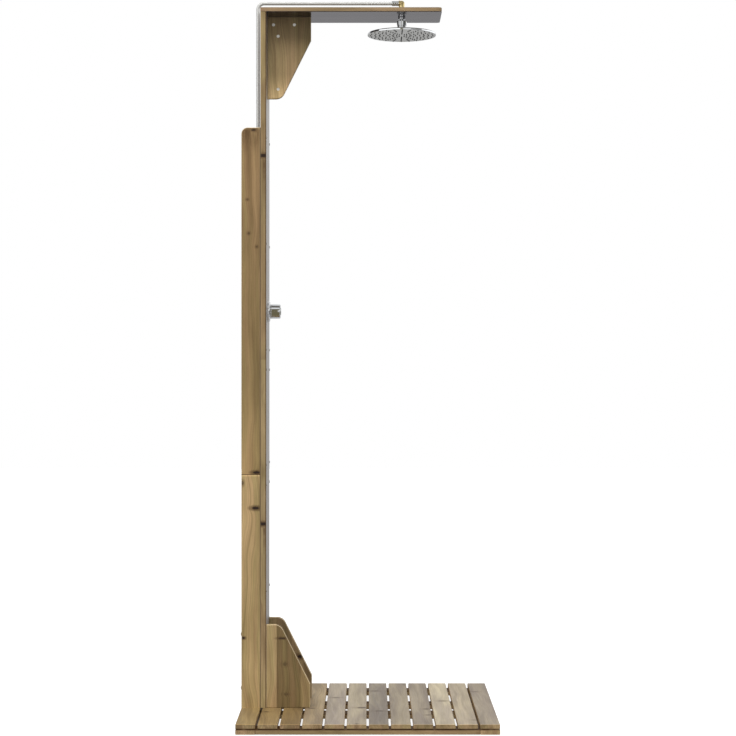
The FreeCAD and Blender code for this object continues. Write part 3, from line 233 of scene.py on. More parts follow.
def wood_figure(s, board, aside, ring, fibre, seed, contrast):
    """The figure as a darkening, 0 to 1: rings, streaks, fibres, bands and clouds."""
    _, v, w = board
    streaks = s.stretched((aside, v, w), (210.0, 120.0, 1.3), seed, detail=3.0)
    bands = s.stretched((aside, v, w), (55.0, 20.0, 1.1), seed * 1.9)
    cloud = s.stretched(board, (22.0, 22.0, 4.5), seed * 2.3, detail=3.0)
    return s.add(
        s.times(s.add(ring, -0.35), 0.22 * contrast),
        s.times(s.add(streaks, -0.5), 0.70 * contrast),
        s.times(s.add(fibre, -0.5), 0.34),
        s.times(s.add(bands, -0.5), 1.10 * contrast),
        s.times(s.add(cloud, -0.5), 0.95 * contrast),
        0.5,
    )


def wood_colour(s, board, aside, darkening, tone, seed):
    """The tone from pale to deep by the figure; both ends drift between a yellower and a redder hue."""
    _, v, w = board
    hue = s.span(s.stretched((aside, v, w), (42.0, 1.0, 1.7), seed * 4.1), 0.3, 0.7)
    pale = s.mix(hue, scaled(tone, 1.33, 1.36, 1.23), scaled(tone, 1.42, 1.32, 1.34))
    deep = s.mix(hue, scaled(tone, 0.66, 0.65, 0.55), scaled(tone, 0.71, 0.61, 0.57))
    return s.mix(s.span(darkening, 0.0, 1.0, smooth=False), pale, deep)


def with_strips(s, colour, u, strips):
    """Glued strips, each from its start across the board onwards; the darker, the warmer."""
    level = 1.0
    for start, brightness in strips:
        beyond = s.span(u, start - GLUE_LINE, start + GLUE_LINE)
        level = s.add(s.times(level, s.add(1.0, s.times(beyond, -1.0))), s.times(beyond, brightness))
    warm = s.vector(level, s.math("POWER", level, 1.06), s.math("POWER", level, 1.20))
    return s.mix(1.0, colour, warm, "MULTIPLY")


def with_shades(s, colour, w, shades):
    """Slow changes of brightness along the board."""
    for low, high, start, end in shades:
        level = s.span(w, low, high, start, end)
        colour = s.mix(1.0, colour, s.vector(level, level, level), "MULTIPLY")
    return colour


def with_weather(s, colour, board, upwards, darkening, grey, seed):
    """Faces that look up turn grey, with purplish patches and a weaker figure."""
    patch = s.stretched(board, (26.0, 20.0, 3.1), seed * 5.1, detail=3.0)
    patched = s.mix(s.span(patch, 0.35, 0.68), scaled(grey, 1.12, 1.10, 1.02),
                    scaled(grey, 0.80, 0.77, 0.79))
    greyed = s.mix(s.span(darkening, 0.1, 0.9, 0.0, 0.55, smooth=False), patched,
                   scaled(grey, 0.50, 0.47, 0.46))
    return s.mix(s.span(upwards, 0.2, 0.8), colour, greyed)


def with_edge_highlights(s, colour, tilt, facing_end, facing_up, weathered):
    """Painted highlights on rounded edges: of weathered boards at their ends only, of planed ones not from
    below.
    """
    edge = s.times(s.span(tilt, 0.15, 0.5), s.span(tilt, 0.98, 0.85))
    if weathered:
        edge = s.times(edge, s.span(facing_end, 0.1, 0.3), 0.6)
        return s.mix(edge, colour, scaled(weathered, 1.75, 1.65, 1.45))
    edge = s.times(edge, s.span(facing_up, -0.3, 0.1), 0.75)
    return s.mix(edge, colour, PLANED_EDGE_HIGHLIGHT)


def with_seams(s, colour, board, place, tone, seams):
    """Patchy dark bands along joints: dark joint lines, and painted shade where a joint is a groove."""
    patchy = s.span(s.stretched(board, (40.0, 40.0, 6.0)), 0.2, 0.6, 0.5, 1.0)
    for axis, low, high, darkness in seams:
        middle, half = (low + high) / 2, (high - low) / 2
        off = s.math("ABSOLUTE", s.add(place[axis], -middle))
        # Darkens the band, for dark joint lines and for painted shade in grooves alike.
        dark_joint_and_shade = s.times(s.span(off, half, half * 0.5), patchy, darkness)
        colour = s.mix(dark_joint_and_shade, colour, scaled(tone, 0.18, 0.115, 0.065))
    return colour


def wood(name, along, across, tone, seed, knots=(), strips=(), weathered=None, pith=0.09, contrast=1.4,
         seams=(), shades=()):
    """Softwood as a solid: growth rings round a pith line, bands, fibres, pores, strips and knots.

    along and across name the board's axes and tone is its mean colour. All places are in metres.
    knots: place across and along, half width, half length and darkness of each. A knot that trails a
    streak also gives its length and the depths that it lies between.
    strips: where each glued strip starts across the board, and its brightness.
    weathered: the grey tone of the faces that look up, if the board is weathered.
    seams: axis, low end, high end and darkness of each dark band along a joint.
    shades: low end, high end, brightness at the low end and at the high end, along the board.
    """
    s = Shader(name)
    depth = next(axis for axis in "xyz" if axis not in (along, across))
    place = s.by_axis("Object")
    facing_way = s.by_axis("Normal")
    board = u, v, w = place[across], place[depth], place[along]
    core, halo, bend = knot_marks(s, board, knots, grain_bend(s, board, seed))
    aside = s.add(u, bend, s.times(w, GRAIN_DRIFT), -pith * 0.6)
    ring = growth_rings(s, board, aside, pith, seed)
    fibre = s.stretched(board, (620.0, 620.0, 9.0), detail=3.0, roughness=0.6)
    pore = s.span(s.stretched(board, (1500.0, 1500.0, 70.0), detail=1.0), 0.64, 0.74)
    darkening = wood_figure(s, board, aside, ring, fibre, seed, contrast)
    colour = wood_colour(s, board, aside, darkening, tone, seed)
    if strips:
        colour = with_strips(s, colour, u, strips)
    colour = with_shades(s, colour, w, shades)
    if weathered:
        colour = with_weather(s, colour, board, facing_way["z"], darkening, weathered, seed)
    tilt = s.math("ABSOLUTE", facing_way[depth])
    facing_end = s.math("ABSOLUTE", facing_way[along])
    colour = s.mix(s.times(s.span(facing_end, 0.6, 0.95), 0.12), colour, scaled(tone, 0.45))
    colour = s.mix(s.times(pore, 0.30), colour, scaled(tone, 0.30))
    colour = s.mix(s.times(halo, 0.35 if weathered else 0.7), colour, KNOT_RIM)
    colour = s.mix(s.times(core, 0.96), colour, KNOT_CORE)
    # Painted highlights on the rounded edges, where light from above would catch them.
    colour = with_edge_highlights(s, colour, tilt, facing_end, facing_way["z"], weathered)
    if seams:
        colour = with_seams(s, colour, board, place, tone, seams)
    height = s.add(s.times(fibre, 0.6), s.times(ring, 0.5), s.times(pore, -0.7), s.times(core, -0.6))
    normal = s.bump(height, 0.35, 0.35 * MM)
    rough = s.span(s.add(fibre, s.times(ring, -0.3)), 0.1, 0.9, 0.48, 0.74)
    return s.finish(Base_Color=colour, Roughness=rough, Specular_IOR_Level=0.28, Normal=normal)


# ---- Platform -------------------------------------------------------------------------------------

END_TONE = srgb(176, 152, 114)
END_BEARER_TONE = scaled(END_TONE, 1.18)

# The weathered tone of each slat's top, from the post to the free end; the warm browns of the first four are
# a painted reflection of the post.
SLAT_TONES = ((164, 141, 97), (151, 128, 89), (144, 121, 83), (160, 142, 113), (166, 155, 140),
              (166, 155, 136), (142, 133, 120), (153, 142, 124), (154, 143, 127), (189, 178, 155),
              (178, 166, 145), (156, 145, 130))

# Knots on the slats by slat number: across (X), along (Y), half width, half length, darkness.
SLAT_KNOTS = {
    2: [(-0.318, -0.158, 0.010, 0.006, 0.8), (-0.300, 0.21, 0.009, 0.006, 0.6)],
    4: [(-0.176, -0.100, 0.012, 0.006, 0.6)],
    5: [(-0.104, 0.083, 0.014, 0.007, 0.6)],
    6: [(-0.018, -0.090, 0.017, 0.010, 0.75), (-0.033, -0.350, 0.005, 0.005, 1.0)],
    7: [(0.037, -0.145, 0.014, 0.008, 0.6), (0.024, 0.204, 0.014, 0.008, 0.6)],
    9: [(0.184, -0.112, 0.010, 0.006, 0.8), (0.186, -0.210, 0.009, 0.006, 0.7)],
    10: [(0.243, 0.025, 0.016, 0.007, 0.6)],
    11: [(0.327, -0.289, 0.010, 0.006, 0.5)],
    12: [(0.355, 0.190, 0.013, 0.007, 0.5)],
}
# Where a slat is glued up from two strips of their own tones.
SLAT_STRIPS = {6: [(-0.052, 1.12)], 9: [(0.150, 0.84)], 12: [(0.378, 1.08)]}

# The slats beside the post get a stronger figure, as part of their painted reflection of the post.
POST_MIRRORING_SLATS = 4

# Painted shade in the groove between the platform's two layers, and dark lines at the bearers' joints.
DECK_GROOVE_SHADE = ("z", 0.0125, 0.0195, 1.0)
BEARER_SEAMS = (DECK_GROOVE_SHADE, ("x", 0.3385, 0.3415, 0.7), ("x", -0.3415, -0.3385, 0.7))


def dress_platform():
    for number, tone in enumerate(SLAT_TONES, start=1):
        paint(f"deck_slat_{number:02d}", wood(
            f"slat_wood_{number:02d}", "y", "x", END_TONE, seed=number * 1.31,
            knots=SLAT_KNOTS.get(number, ()), strips=SLAT_STRIPS.get(number, ()),
            weathered=srgb(*tone), pith=0.05 + 0.013 * (number % 4),
            contrast=2.1 if number <= POST_MIRRORING_SLATS else 1.5, seams=[DECK_GROOVE_SHADE],
        ))
    for number, name in enumerate(("near", "mid_near", "mid_far", "far")):
        paint(f"long_bearer_{name}", wood(f"bearer_wood_{name}", "x", "y", END_TONE, seed=21 + number,
                                          seams=BEARER_SEAMS))
    for number, name in enumerate(("rear", "front")):
        paint(f"end_bearer_{name}", wood(f"bearer_wood_{name}", "y", "x", END_BEARER_TONE,
                                         seed=31 + number, seams=BEARER_SEAMS))


# ---- Post, arm and gussets ------------------------------------------------------------------------

FRONT_TONE = srgb(170, 150, 112)
FRONT_UPPER_TONE = srgb(146, 125, 92)
LOWER_TONE = srgb(190, 166, 120)
UPPER_TONE = srgb(148, 125, 88)
ARM_TONE = srgb(140, 118, 92)
ARM_TOP_GREY = srgb(124, 117, 106)
BASE_TONE = srgb(194, 171, 127)
GUSSET_TONE = srgb(157, 137, 103)

# The depths between which the streaks in the front boards lie, just behind their front faces.
FRONT_SKIN = (-0.331, -0.324)

# The post's boards, which all run along Z: the axis across, the tone, the seed and the knots of each.
POST_BOARDS = {
    "front_board_lower": (
        "y", FRONT_TONE, 3.3, [(-0.092, 0.614, 0.010, 0.0055, 1.0, 0.15, *FRONT_SKIN)]),
    "front_board_upper": (
        "y", FRONT_UPPER_TONE, 5.9, [(-0.092, 1.780, 0.010, 0.0055, 1.0, 0.17, *FRONT_SKIN)]),
    "side_board_near_lower": ("x", LOWER_TONE, 7.4, [
        (-0.3545, 0.664, 0.0125, 0.0050, 1.0),
        (-0.3930, 0.253, 0.0050, 0.0035, 1.0),
        (-0.3960, 0.743, 0.0040, 0.0070, 0.6),
    ]),
    "side_board_near_upper": ("x", UPPER_TONE, 9.2, [
        (-0.3516, 0.7765, 0.0120, 0.0046, 1.0),
        (-0.3615, 1.8610, 0.0085, 0.0042, 0.8, 0.10, -0.1, 0.1),
        (-0.3763, 1.5340, 0.0042, 0.0042, 0.5),
        (-0.3510, 1.4915, 0.0040, 0.0040, 0.45),
        (-0.3808, 1.6410, 0.0045, 0.0035, 0.4),
    ]),
    "side_board_far_lower": ("x", LOWER_TONE, 11.7, [(-0.371, 0.43, 0.010, 0.005, 1.0)]),
    "side_board_far_upper": ("x", UPPER_TONE, 13.1, [(-0.366, 1.31, 0.010, 0.005, 1.0)]),
}

# Dark bands where the side boards meet the front boards, and where those meet the metal facing.
BOARD_SEAM = ("x", -0.3422, -0.3380, 0.7)
FACING_SEAM = ("x", -0.3245, -0.3190, 0.9)
JOINT_SEAM_HALF = 0.003


def dress_post():
    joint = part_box("side_board_near_lower")[1].z
    for name, (across, tone, seed, knots) in POST_BOARDS.items():
        seams, shades = [BOARD_SEAM], ()
        if name.startswith("front"):
            seams.append(FACING_SEAM)
        elif name.endswith("upper"):
            # Bright above the joint, then slowly darker; the seam darkens the joint itself.
            shades = [(0.75, 1.10, 1.40, 0.96)]
            seams.append(("z", joint - JOINT_SEAM_HALF, joint + JOINT_SEAM_HALF, 0.9))
        else:
            # The lower board's top edge catches the light.
            shades = [(joint - 2 * JOINT_SEAM_HALF, joint - JOINT_SEAM_HALF, 1.0, 1.4)]
        paint(name, wood(f"{name}_wood", "z", across, tone, seed, knots, seams=seams, shades=shades))


def dress_arm_and_gussets():
    paint("arm_board", wood(
        "arm_wood", "x", "y", ARM_TONE, seed=15.8,
        knots=[(0.031, 0.052, 0.009, 0.006, 0.9), (-0.05, -0.19, 0.008, 0.005, 0.7)],
        strips=[(-0.046, 0.9), (0.0, 1.1), (0.046, 0.96)], weathered=ARM_TOP_GREY,
    ))
    # Painted light and shade: the gusset is brightest low down and falls to its plain tone up under the arm,
    # as if shaded by it.
    paint("arm_gusset", wood(
        "arm_gusset_wood", "z", "x", GUSSET_TONE, seed=17.3, strips=[(-0.242, 1.06), (-0.224, 0.84)],
        shades=[(1.94, 2.06, 2.50, 1.06), (2.06, 2.20, 1.06, 1.0)],
    ))
    paint("base_gusset_near", wood(
        "near_gusset_wood", "z", "x", BASE_TONE, seed=18.9,
        knots=[(-0.272, 0.252, 0.012, 0.003, 0.8), (-0.262, 0.170, 0.008, 0.006, 0.3),
               (-0.258, 0.075, 0.009, 0.004, 0.3)],
        strips=[(-0.288, 0.42), (-0.212, 0.60)],
    ))
    paint("base_gusset_far", wood(
        "far_gusset_wood", "z", "x", scaled(GUSSET_TONE, 0.8), seed=20.4,
        knots=[(-0.2185, 0.168, 0.011, 0.006, 1.0)], strips=[(-0.288, 0.9), (-0.212, 0.75)],
    ))


# ---- Metals and plastics --------------------------------------------------------------------------

DUST = srgb(150, 146, 138)
STRAND_SHADE = srgb(158, 159, 157)
STRAND_LIGHT = srgb(234, 234, 231)


def brushed(name, colour, along, roughness, strength=0.12, metallic=1.0, cut_edge=None):
    """Sheet metal with fine and coarse brushing along one axis, faint smears, and cut edges tinted dark brown
    as painted shade and a painted reflection of the wood.
    """
    s = Shader(name)
    place = s.by_axis("Object")
    fine = [12.0 if axis == along else 1400.0 for axis in place]
    coarse = [0.8 if axis == along else 130.0 for axis in place]
    grain = s.stretched(place.values(), fine)
    drawn = s.stretched(place.values(), coarse, detail=3.0)
    smear = s.noise(s.coordinates.outputs["Object"], 3.0, scale=9.0)
    tint = s.mix(s.span(s.add(s.times(grain, 0.5), s.times(smear, 0.5)), 0.3, 0.7), colour,
                 scaled(colour, 0.80))
    tint = s.mix(s.span(drawn, 0.35, 0.65, 0.0, 0.45), tint, scaled(colour, 0.66))
    # Painted shade and reflection: the cut edges take the dark brown of the wood next to them.
    if cut_edge:
        facing_edge = s.math("ABSOLUTE", s.by_axis("Normal")[cut_edge])
        tint = s.mix(s.span(facing_edge, 0.4, 0.8), tint, KNOT_RIM)
    rough = s.add(s.times(grain, 0.10), s.times(smear, 0.06), s.times(drawn, 0.10), roughness - 0.13)
    normal = s.bump(grain, strength, 0.06 * MM)
    return s.finish(Base_Color=tint, Metallic=metallic, Roughness=rough, Normal=normal)


def polished(name, colour, roughness, metallic=1.0):
    """Plated or cast metal with a fine haze, water marks and hairlines."""
    s = Shader(name)
    place = s.coordinates.outputs["Object"]
    haze = s.noise(place, 3.0, scale=60.0)
    spots = s.span(s.noise(place, 2.0, scale=320.0), 0.66, 0.72)
    hairline = s.noise(place, 2.0, scale=2600.0)
    tint = s.mix(s.times(haze, 0.25), colour, scaled(colour, 0.86))
    rough = s.add(s.times(haze, 0.05), s.times(spots, 0.08), roughness)
    normal = s.bump(hairline, 0.02, 0.02 * MM)
    return s.finish(Base_Color=tint, Metallic=metallic, Roughness=rough, Normal=normal)


def moulded(name, colour, roughness):
    """Moulded plastic or rubber with a fine matt texture and a little dust."""
    s = Shader(name)
    place = s.coordinates.outputs["Object"]
    texture = s.noise(place, 2.0, scale=1800.0)
    dust = s.noise(place, 4.0, scale=35.0)
    tint = s.mix(s.span(dust, 0.35, 0.75, 0.0, 0.35), colour, DUST)
    rough = s.add(s.times(texture, 0.12), s.times(dust, 0.12), roughness - 0.1)
    normal = s.bump(texture, 0.15, 0.05 * MM)
    return s.finish(Base_Color=tint, Roughness=rough, Normal=normal)


def braid(name, strands=12.0, pitch=20.0 * MM, wires_in_strand=5):
    """Stainless braid over a hose: two crossing sets of strands, from the hose's own UV map."""
    s = Shader(name)
    round_hose, along_hose, _ = s.split(s.coordinates.outputs["UV"])
    slope = strands / pitch
    one = s.add(s.times(round_hose, strands), s.times(along_hose, slope))
    two = s.add(s.times(round_hose, strands), s.times(along_hose, -slope))
    # The first set lies on top where the two cell numbers add up to an odd number.
    odd = s.math("MODULO", s.math("ABSOLUTE", s.add(s.math("FLOOR", one), s.math("FLOOR", two))), 2.0)
    even = s.math("SUBTRACT", 1.0, odd)
    wave_one = s.math("ABSOLUTE", s.math("SINE", s.times(one, math.pi)))
    wave_two = s.math("ABSOLUTE", s.math("SINE", s.times(two, math.pi)))
    height = s.add(s.times(wave_one, odd), s.times(wave_two, even))
    across = s.add(s.times(one, odd), s.times(two, even))
    wires = s.math("ABSOLUTE", s.math("SINE", s.times(across, math.pi * wires_in_strand)))
    tint = s.mix(s.span(s.add(height, s.times(wires, 0.2)), 0.1, 0.9), STRAND_SHADE, STRAND_LIGHT)
    normal = s.bump(s.add(height, s.times(wires, 0.25)), 0.12, 0.25 * MM)
    rough = s.span(wires, 0.0, 1.0, 0.44, 0.36)
    return s.finish(Base_Color=tint, Metallic=0.32, Roughness=rough, Normal=normal)


CHROME = polished("chrome", srgb(222, 224, 226), 0.04)
BRASS = polished("brass", srgb(214, 194, 142), 0.24)
NUT_STEEL = polished("nut_steel", srgb(216, 214, 210), 0.20)
ZINC = polished("bright_zinc", srgb(238, 235, 228), 0.34, 0.55)
COVER = polished("cover_chrome", srgb(236, 236, 238), 0.10, 0.70)
FACE_STEEL = brushed("face_steel", srgb(230, 230, 227), "x", 0.30)
POST_STEEL = brushed("post_steel", srgb(194, 189, 184), "z", 0.38, metallic=0.85, cut_edge="y")
# Painted shade: the grey steel of the post's facing, made much darker because the arm's facing lies
# underneath, in shade.
ARM_STEEL_SHADED = brushed("arm_steel_shaded", srgb(107, 102, 111), "x", 0.17, strength=0.05)
BRAID = braid("hose_braid")
SILICONE = moulded("nozzle_silicone", srgb(84, 86, 88), 0.55)
ACETAL = moulded("white_acetal", srgb(214, 212, 204), 0.4)
DARK_PLASTIC = moulded("dark_plastic", srgb(38, 38, 40), 0.5)

# The nodes that show their CAD solids, apart from the wooden ones.
FITTINGS = {
    "post_facing_lower": POST_STEEL, "post_facing_upper": POST_STEEL, "arm_facing": ARM_STEEL_SHADED,
    "arm_bolts": NUT_STEEL, "post_bolts": NUT_STEEL, "base_cross_bolts": NUT_STEEL,
    "base_deck_bolts": NUT_STEEL, "barrel_nuts": ZINC, "panel_screws": NUT_STEEL,
    "hose_union_nut": NUT_STEEL, "valve_body": BRASS, "valve_lock_nut": BRASS,
    "valve_cartridge": ACETAL, "hose_clips": DARK_PLASTIC, "inlet_connector": DARK_PLASTIC,
    "swivel_ring": ACETAL, "ball_seat": ACETAL, "knob_screw": NUT_STEEL, "valve_spindle": BRASS,
}


def dress_fittings():
    for node, material in FITTINGS.items():
        paint(node, material)


# ---- Meshes ---------------------------------------------------------------------------------------

# Segments round a turned piece, by its size.
HEAD_SEGMENTS, KNOB_SEGMENTS, PLAIN_SEGMENTS, PIPE_SEGMENTS, TIP_SEGMENTS = 192, 128, 96, 48, 14
# How far beyond a rounding a flat stretch is held, in millimetres, and how much of a side it may take.
HOLD = 0.1
ROUNDED_SHARE = 0.45
NEARLY_STRAIGHT = math.radians(170)


def make_object(name, vertices, faces, material, body, slot_name, smooth_angle=35.0):
    mesh = bpy.data.meshes.new(name)
    mesh.from_pydata([tuple(v) for v in vertices], [], faces)
    mesh.update()
    mesh.shade_smooth()
    mesh.set_sharp_from_angle(angle=math.radians(smooth_angle))
    mesh.materials.append(material)
    made = bpy.data.objects.new(name, mesh)
    bpy.context.scene.collection.objects.link(made)
    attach(made, body)
    return made


def rounded(profile, radius, steps=4, hold=0.0):
    """The profile of (along, radius) points with each inner corner rounded.

    hold adds a point that far beyond each end of a rounding, which keeps the stretch between two
    roundings flat in its shading too. With it, corners that are nearly straight stay as they are.
    """
    points = [Vector(p) for p in profile]
    result = [points[0]]
    for before, corner, after in zip(points, points[1:], points[2:]):
        to_before, to_after = before - corner, after - corner
        if hold and to_before.angle(to_after) > NEARLY_STRAIGHT:
            result.append(corner)
            continue
        reach = min(radius, to_before.length * ROUNDED_SHARE, to_after.length * ROUNDED_SHARE)
        start = corner + to_before.normalized() * reach
        end = corner + to_after.normalized() * reach
        if hold and to_before.length > 3 * (reach + hold):
            result.append(start + to_before.normalized() * hold)
        for i in range(steps + 1):
            t = i / steps
            result.append(start * (1 - t) ** 2 + corner * 2 * t * (1 - t) + end * t**2)
        if hold and to_after.length > 3 * (reach + hold):
            result.append(end + to_after.normalized() * hold)
    result.append(points[-1])
    return [tuple(p) for p in result]


def turned(profile, matrix, segments=PLAIN_SEGMENTS):
    """Vertices and faces of a profile turned about the matrix's own Z; millimetres in, metres out."""
    vertices, faces, rows = [], [], []
    for along, radius in profile:
        if radius < 1e-6:
            rows.append([len(vertices)] * segments)
            vertices.append(matrix @ Vector((0, 0, along * MM)))
            continue
        rows.append(list(range(len(vertices), len(vertices) + segments)))
        for i in range(segments):
            angle = 2 * math.pi * i / segments
            vertices.append(matrix @ Vector(
                (radius * MM * math.cos(angle), radius * MM * math.sin(angle), along * MM)))
    for low, high in zip(rows, rows[1:]):
        for i in range(segments):
            j = (i + 1) % segments
            face = list(dict.fromkeys((low[i], low[j], high[j], high[i])))
            if len(face) > 2:
                faces.append(face)
    return vertices, faces


def joined(parts):
    """Several (vertices, faces) as one."""
    vertices, faces = [], []
    for part_vertices, part_faces in parts:
        start = len(vertices)
        vertices += part_vertices
        faces += [[start + i for i in face] for face in part_faces]
    return vertices, faces


def arc(centre, radius, start, end, steps):
    """Points of a circle in a profile, by angle in degrees from the along direction."""
    points = []
    for i in range(steps + 1):
        angle = math.radians(start + (end - start) * i / steps)
        points.append((centre[0] + radius * math.cos(angle), centre[1] + radius * math.sin(angle)))
    return points


def facing(place, direction):
    """A matrix at a place whose Z points along a direction."""
    turn = Vector(direction).to_track_quat("Z", "Y").to_matrix().to_4x4()
    return Matrix.Translation(place) @ turn


def facing_front(low, high):
    """A matrix at the middle of a box's side next to the post, whose Z points to the front (+X)."""
    return facing(Vector((low.x, (low.y + high.y) / 2, (low.z + high.z) / 2)), (1, 0, 0))


def lathe(name, profile, matrix, material, body, slot_name, segments=PLAIN_SEGMENTS):
    vertices, faces = turned(profile, matrix, segments)
    return make_object(name, vertices, faces, material, body, slot_name)


# ---- Rain head ------------------------------------------------------------------------------------

BALL = Vector(JOINTS["head_spin"]["pos_m"])

# The head's reach, how far its rim hangs below the ball, and the rim's height.
HEAD_RADIUS, HEAD_DROP, RIM_HEIGHT = 110.0, 38.0, 7.0
RIM_WALL = 2.0
# The dome's rise from the rim to its neck, the neck's radius, and how far it bulges between them.
DOME_RISE, DOME_NECK, DOME_BULGE, DOME_STEPS = 11.5, 20.4, 2.0, 14
# The spray face's drop below the ball, and the nozzles in each ring from the middle outwards.
FACE_DROP = 37.5
NOZZLE_RINGS = (6, 12, 12, 12, 24, 24, 24)
FIRST_RING, RING_STEP = 16, 14


def dome(start_z, start_r, end_z, end_r):
    """A shallow bulge between two profile points."""
    points = []
    for i in range(1, DOME_STEPS + 1):
        t = i / DOME_STEPS
        bulge = DOME_BULGE * 4 * t * (1 - t)
        points.append((start_z + (end_z - start_z) * t + bulge, start_r + (end_r - start_r) * t))
    return points


def make_head_back():
    """The hub with its socket, the dome and the rim, down to the edge that the spray face sits in."""
    rim_top = RIM_HEIGHT - HEAD_DROP
    inner = HEAD_RADIUS - RIM_WALL
    outer = [
        (-0.3, 10.9), (-0.3, 13.4), (-7.05, 13.4), (-7.05, 14.8), (-12.05, 14.0),
        (rim_top + DOME_RISE, DOME_NECK), *dome(rim_top + DOME_RISE, DOME_NECK, rim_top, inner),
        (rim_top - RIM_WALL, HEAD_RADIUS), (-HEAD_DROP, HEAD_RADIUS), (-HEAD_DROP, inner),
        (-HEAD_DROP + 3.2, inner),
    ]
    ball = Matrix.Translation(BALL)
    back = lathe("head_back_shell", rounded(outer, 1.2), ball, CHROME, "head", "polished_chrome",
                 HEAD_SEGMENTS)
    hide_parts("head_back")


def make_head_face():
    """The spray face with a shallow groove round it and a short wall up into the rim."""
    plate = [(-37.4, 0.0), (-37.4, 104.0), (-37.1, 104.5), (-37.1, 106.0), (-37.5, 106.5),
             (-37.5, 107.9), (-34.6, 107.9)]
    ball = Matrix.Translation(BALL)
    face = lathe("head_face_plate", rounded(plate, 0.25, 2), ball, FACE_STEEL, "head", "polished_chrome",
                 HEAD_SEGMENTS)
    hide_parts("head_face")


def make_nozzles():
    """Soft tips with a small bore, in rings round the middle of the spray face."""
    tip = [(0.3, 2.3), (-0.25, 2.3), (-0.35, 1.9), (-2.0, 1.35), (-2.2, 1.15), (-2.2, 0.6), (-1.0, 0.5),
           (-1.0, 0.0)]
    parts = []
    for ring, count in enumerate(NOZZLE_RINGS):
        radius = (FIRST_RING + RING_STEP * ring) * MM
        for i in range(count):
            angle = 2 * math.pi * i / count
            centre = BALL + Vector((radius * math.cos(angle), radius * math.sin(angle), -FACE_DROP * MM))
            parts.append(turned(tip, Matrix.Translation(centre), TIP_SEGMENTS))
    nozzles = make_object("head_nozzle_tips", *joined(parts), SILICONE, "head", "nozzle_silicone", 50.0)
    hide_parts("head_nozzles")


def make_swivel():
    """The bell-shaped swivel nut and the polished ball stud with its collar."""
    ball = Matrix.Translation(BALL)
    # From the bore at the top over the shoulder and down the flank to the thread's bore.
    bell = [(9.0, 10.7), (9.0, 12.5), (8.0, 14.5), (7.0, 17.0), (-6.0, 15.1), (-7.0, 14.6), (-7.0, 13.45),
            (0.0, 13.45)]
    nut = lathe("swivel_nut_bell", rounded(bell, 0.6), ball, CHROME, "head", "polished_chrome",
                KNOB_SEGMENTS)
    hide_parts("swivel_nut")
    ball_radius, neck, collar = 9.0, 4.9, 12.0
    stem = [*arc((0, 0), ball_radius, 180, 33, 24), (7.6, neck), (13.3, neck), (13.3, collar - 1.0),
            (14.3, collar), (20.2, collar), (20.9, 11.5), (20.95, 0.0)]
    stud = lathe("ball_stud_turned", rounded(stem, 0.4, 3), ball, CHROME, "stand", "polished_chrome")
    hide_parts("ball_stud")


# ---- Elbow, hose and ferrules ---------------------------------------------------------------------

ELBOW_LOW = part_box("brass_elbow")[0]
HOSE_LOW, HOSE_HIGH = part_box("riser_hose")
HOSE_RADIUS = 5.75 * MM
BEND_RADIUS = 19.0 * MM
UPRIGHT_STEPS, BEND_STEPS, LEVEL_STEPS = 96, 16, 48
HOSE_SEGMENTS = 24


def hexagonal(width, low, high, matrix):
    """A hexagonal prism with chamfered ends and corners; millimetres in, metres out."""
    chamfer, corner_angle, around = 0.8, 3.0, 12
    vertices, faces = [], []
    corner = width / 2 / math.cos(math.pi / 6)
    rings = ((low, corner - chamfer), (low + chamfer * 0.6, corner), (high - chamfer * 0.6, corner),
             (high, corner - chamfer))
    for height, radius in rings:
        reach = radius * (1 if radius < corner else math.cos(math.radians(corner_angle)))
        for i in range(6):
            for lean in (-corner_angle, corner_angle):
                angle = math.radians(60 * i + lean)
                vertices.append(matrix @ Vector(
                    (reach * MM * math.cos(angle), reach * MM * math.sin(angle), height * MM)))
    for ring in range(len(rings) - 1):
        start = ring * around
        for i in range(around):
            j = (i + 1) % around
            faces.append([start + i, start + j, start + around + j, start + around + i])
    faces.append(list(range(around - 1, -1, -1)))
    faces.append(list(range(len(vertices) - around, len(vertices))))
    return vertices, faces


def make_elbow():
    """A hexagonal foot, an upright leg with a collar, the turned corner and the arm to the hose."""
    lift, pipe, foot_width, foot_height = 29.5, 9.0, 24, 8
    foot = Matrix.Translation(Vector((BALL.x, BALL.y, ELBOW_LOW.z)))
    side = facing(Vector((BALL.x, BALL.y, ELBOW_LOW.z + lift * MM)), (-1, 0, 0))
    leg = rounded([(6.0, 0.0), (6.0, pipe), (lift, pipe), (lift, 0.0)], 0.3, 2)
    corner = arc((lift, 0), pipe, 180, 0, 24)
    collar = rounded([(foot_height, 8.0), (foot_height, 10.6), (10.5, 10.6), (10.5, 8.0)], 0.6, 3)
    arm = rounded([(0.0, 0.0), (0.0, pipe), (7.0, pipe), (7.0, 9.9), (9.5, 9.9), (9.5, 5.8), (8.5, 5.8)],
                  0.5, 3)
    parts = [hexagonal(foot_width, 0, foot_height, foot)]
    for profile, matrix in ((leg, foot), (corner, foot), (collar, foot), (arm, side)):
        parts.append(turned(profile, matrix, PIPE_SEGMENTS))
    elbow = make_object("brass_elbow_cast", *joined(parts), BRASS, "stand", "valve_brass")
    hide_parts("brass_elbow")


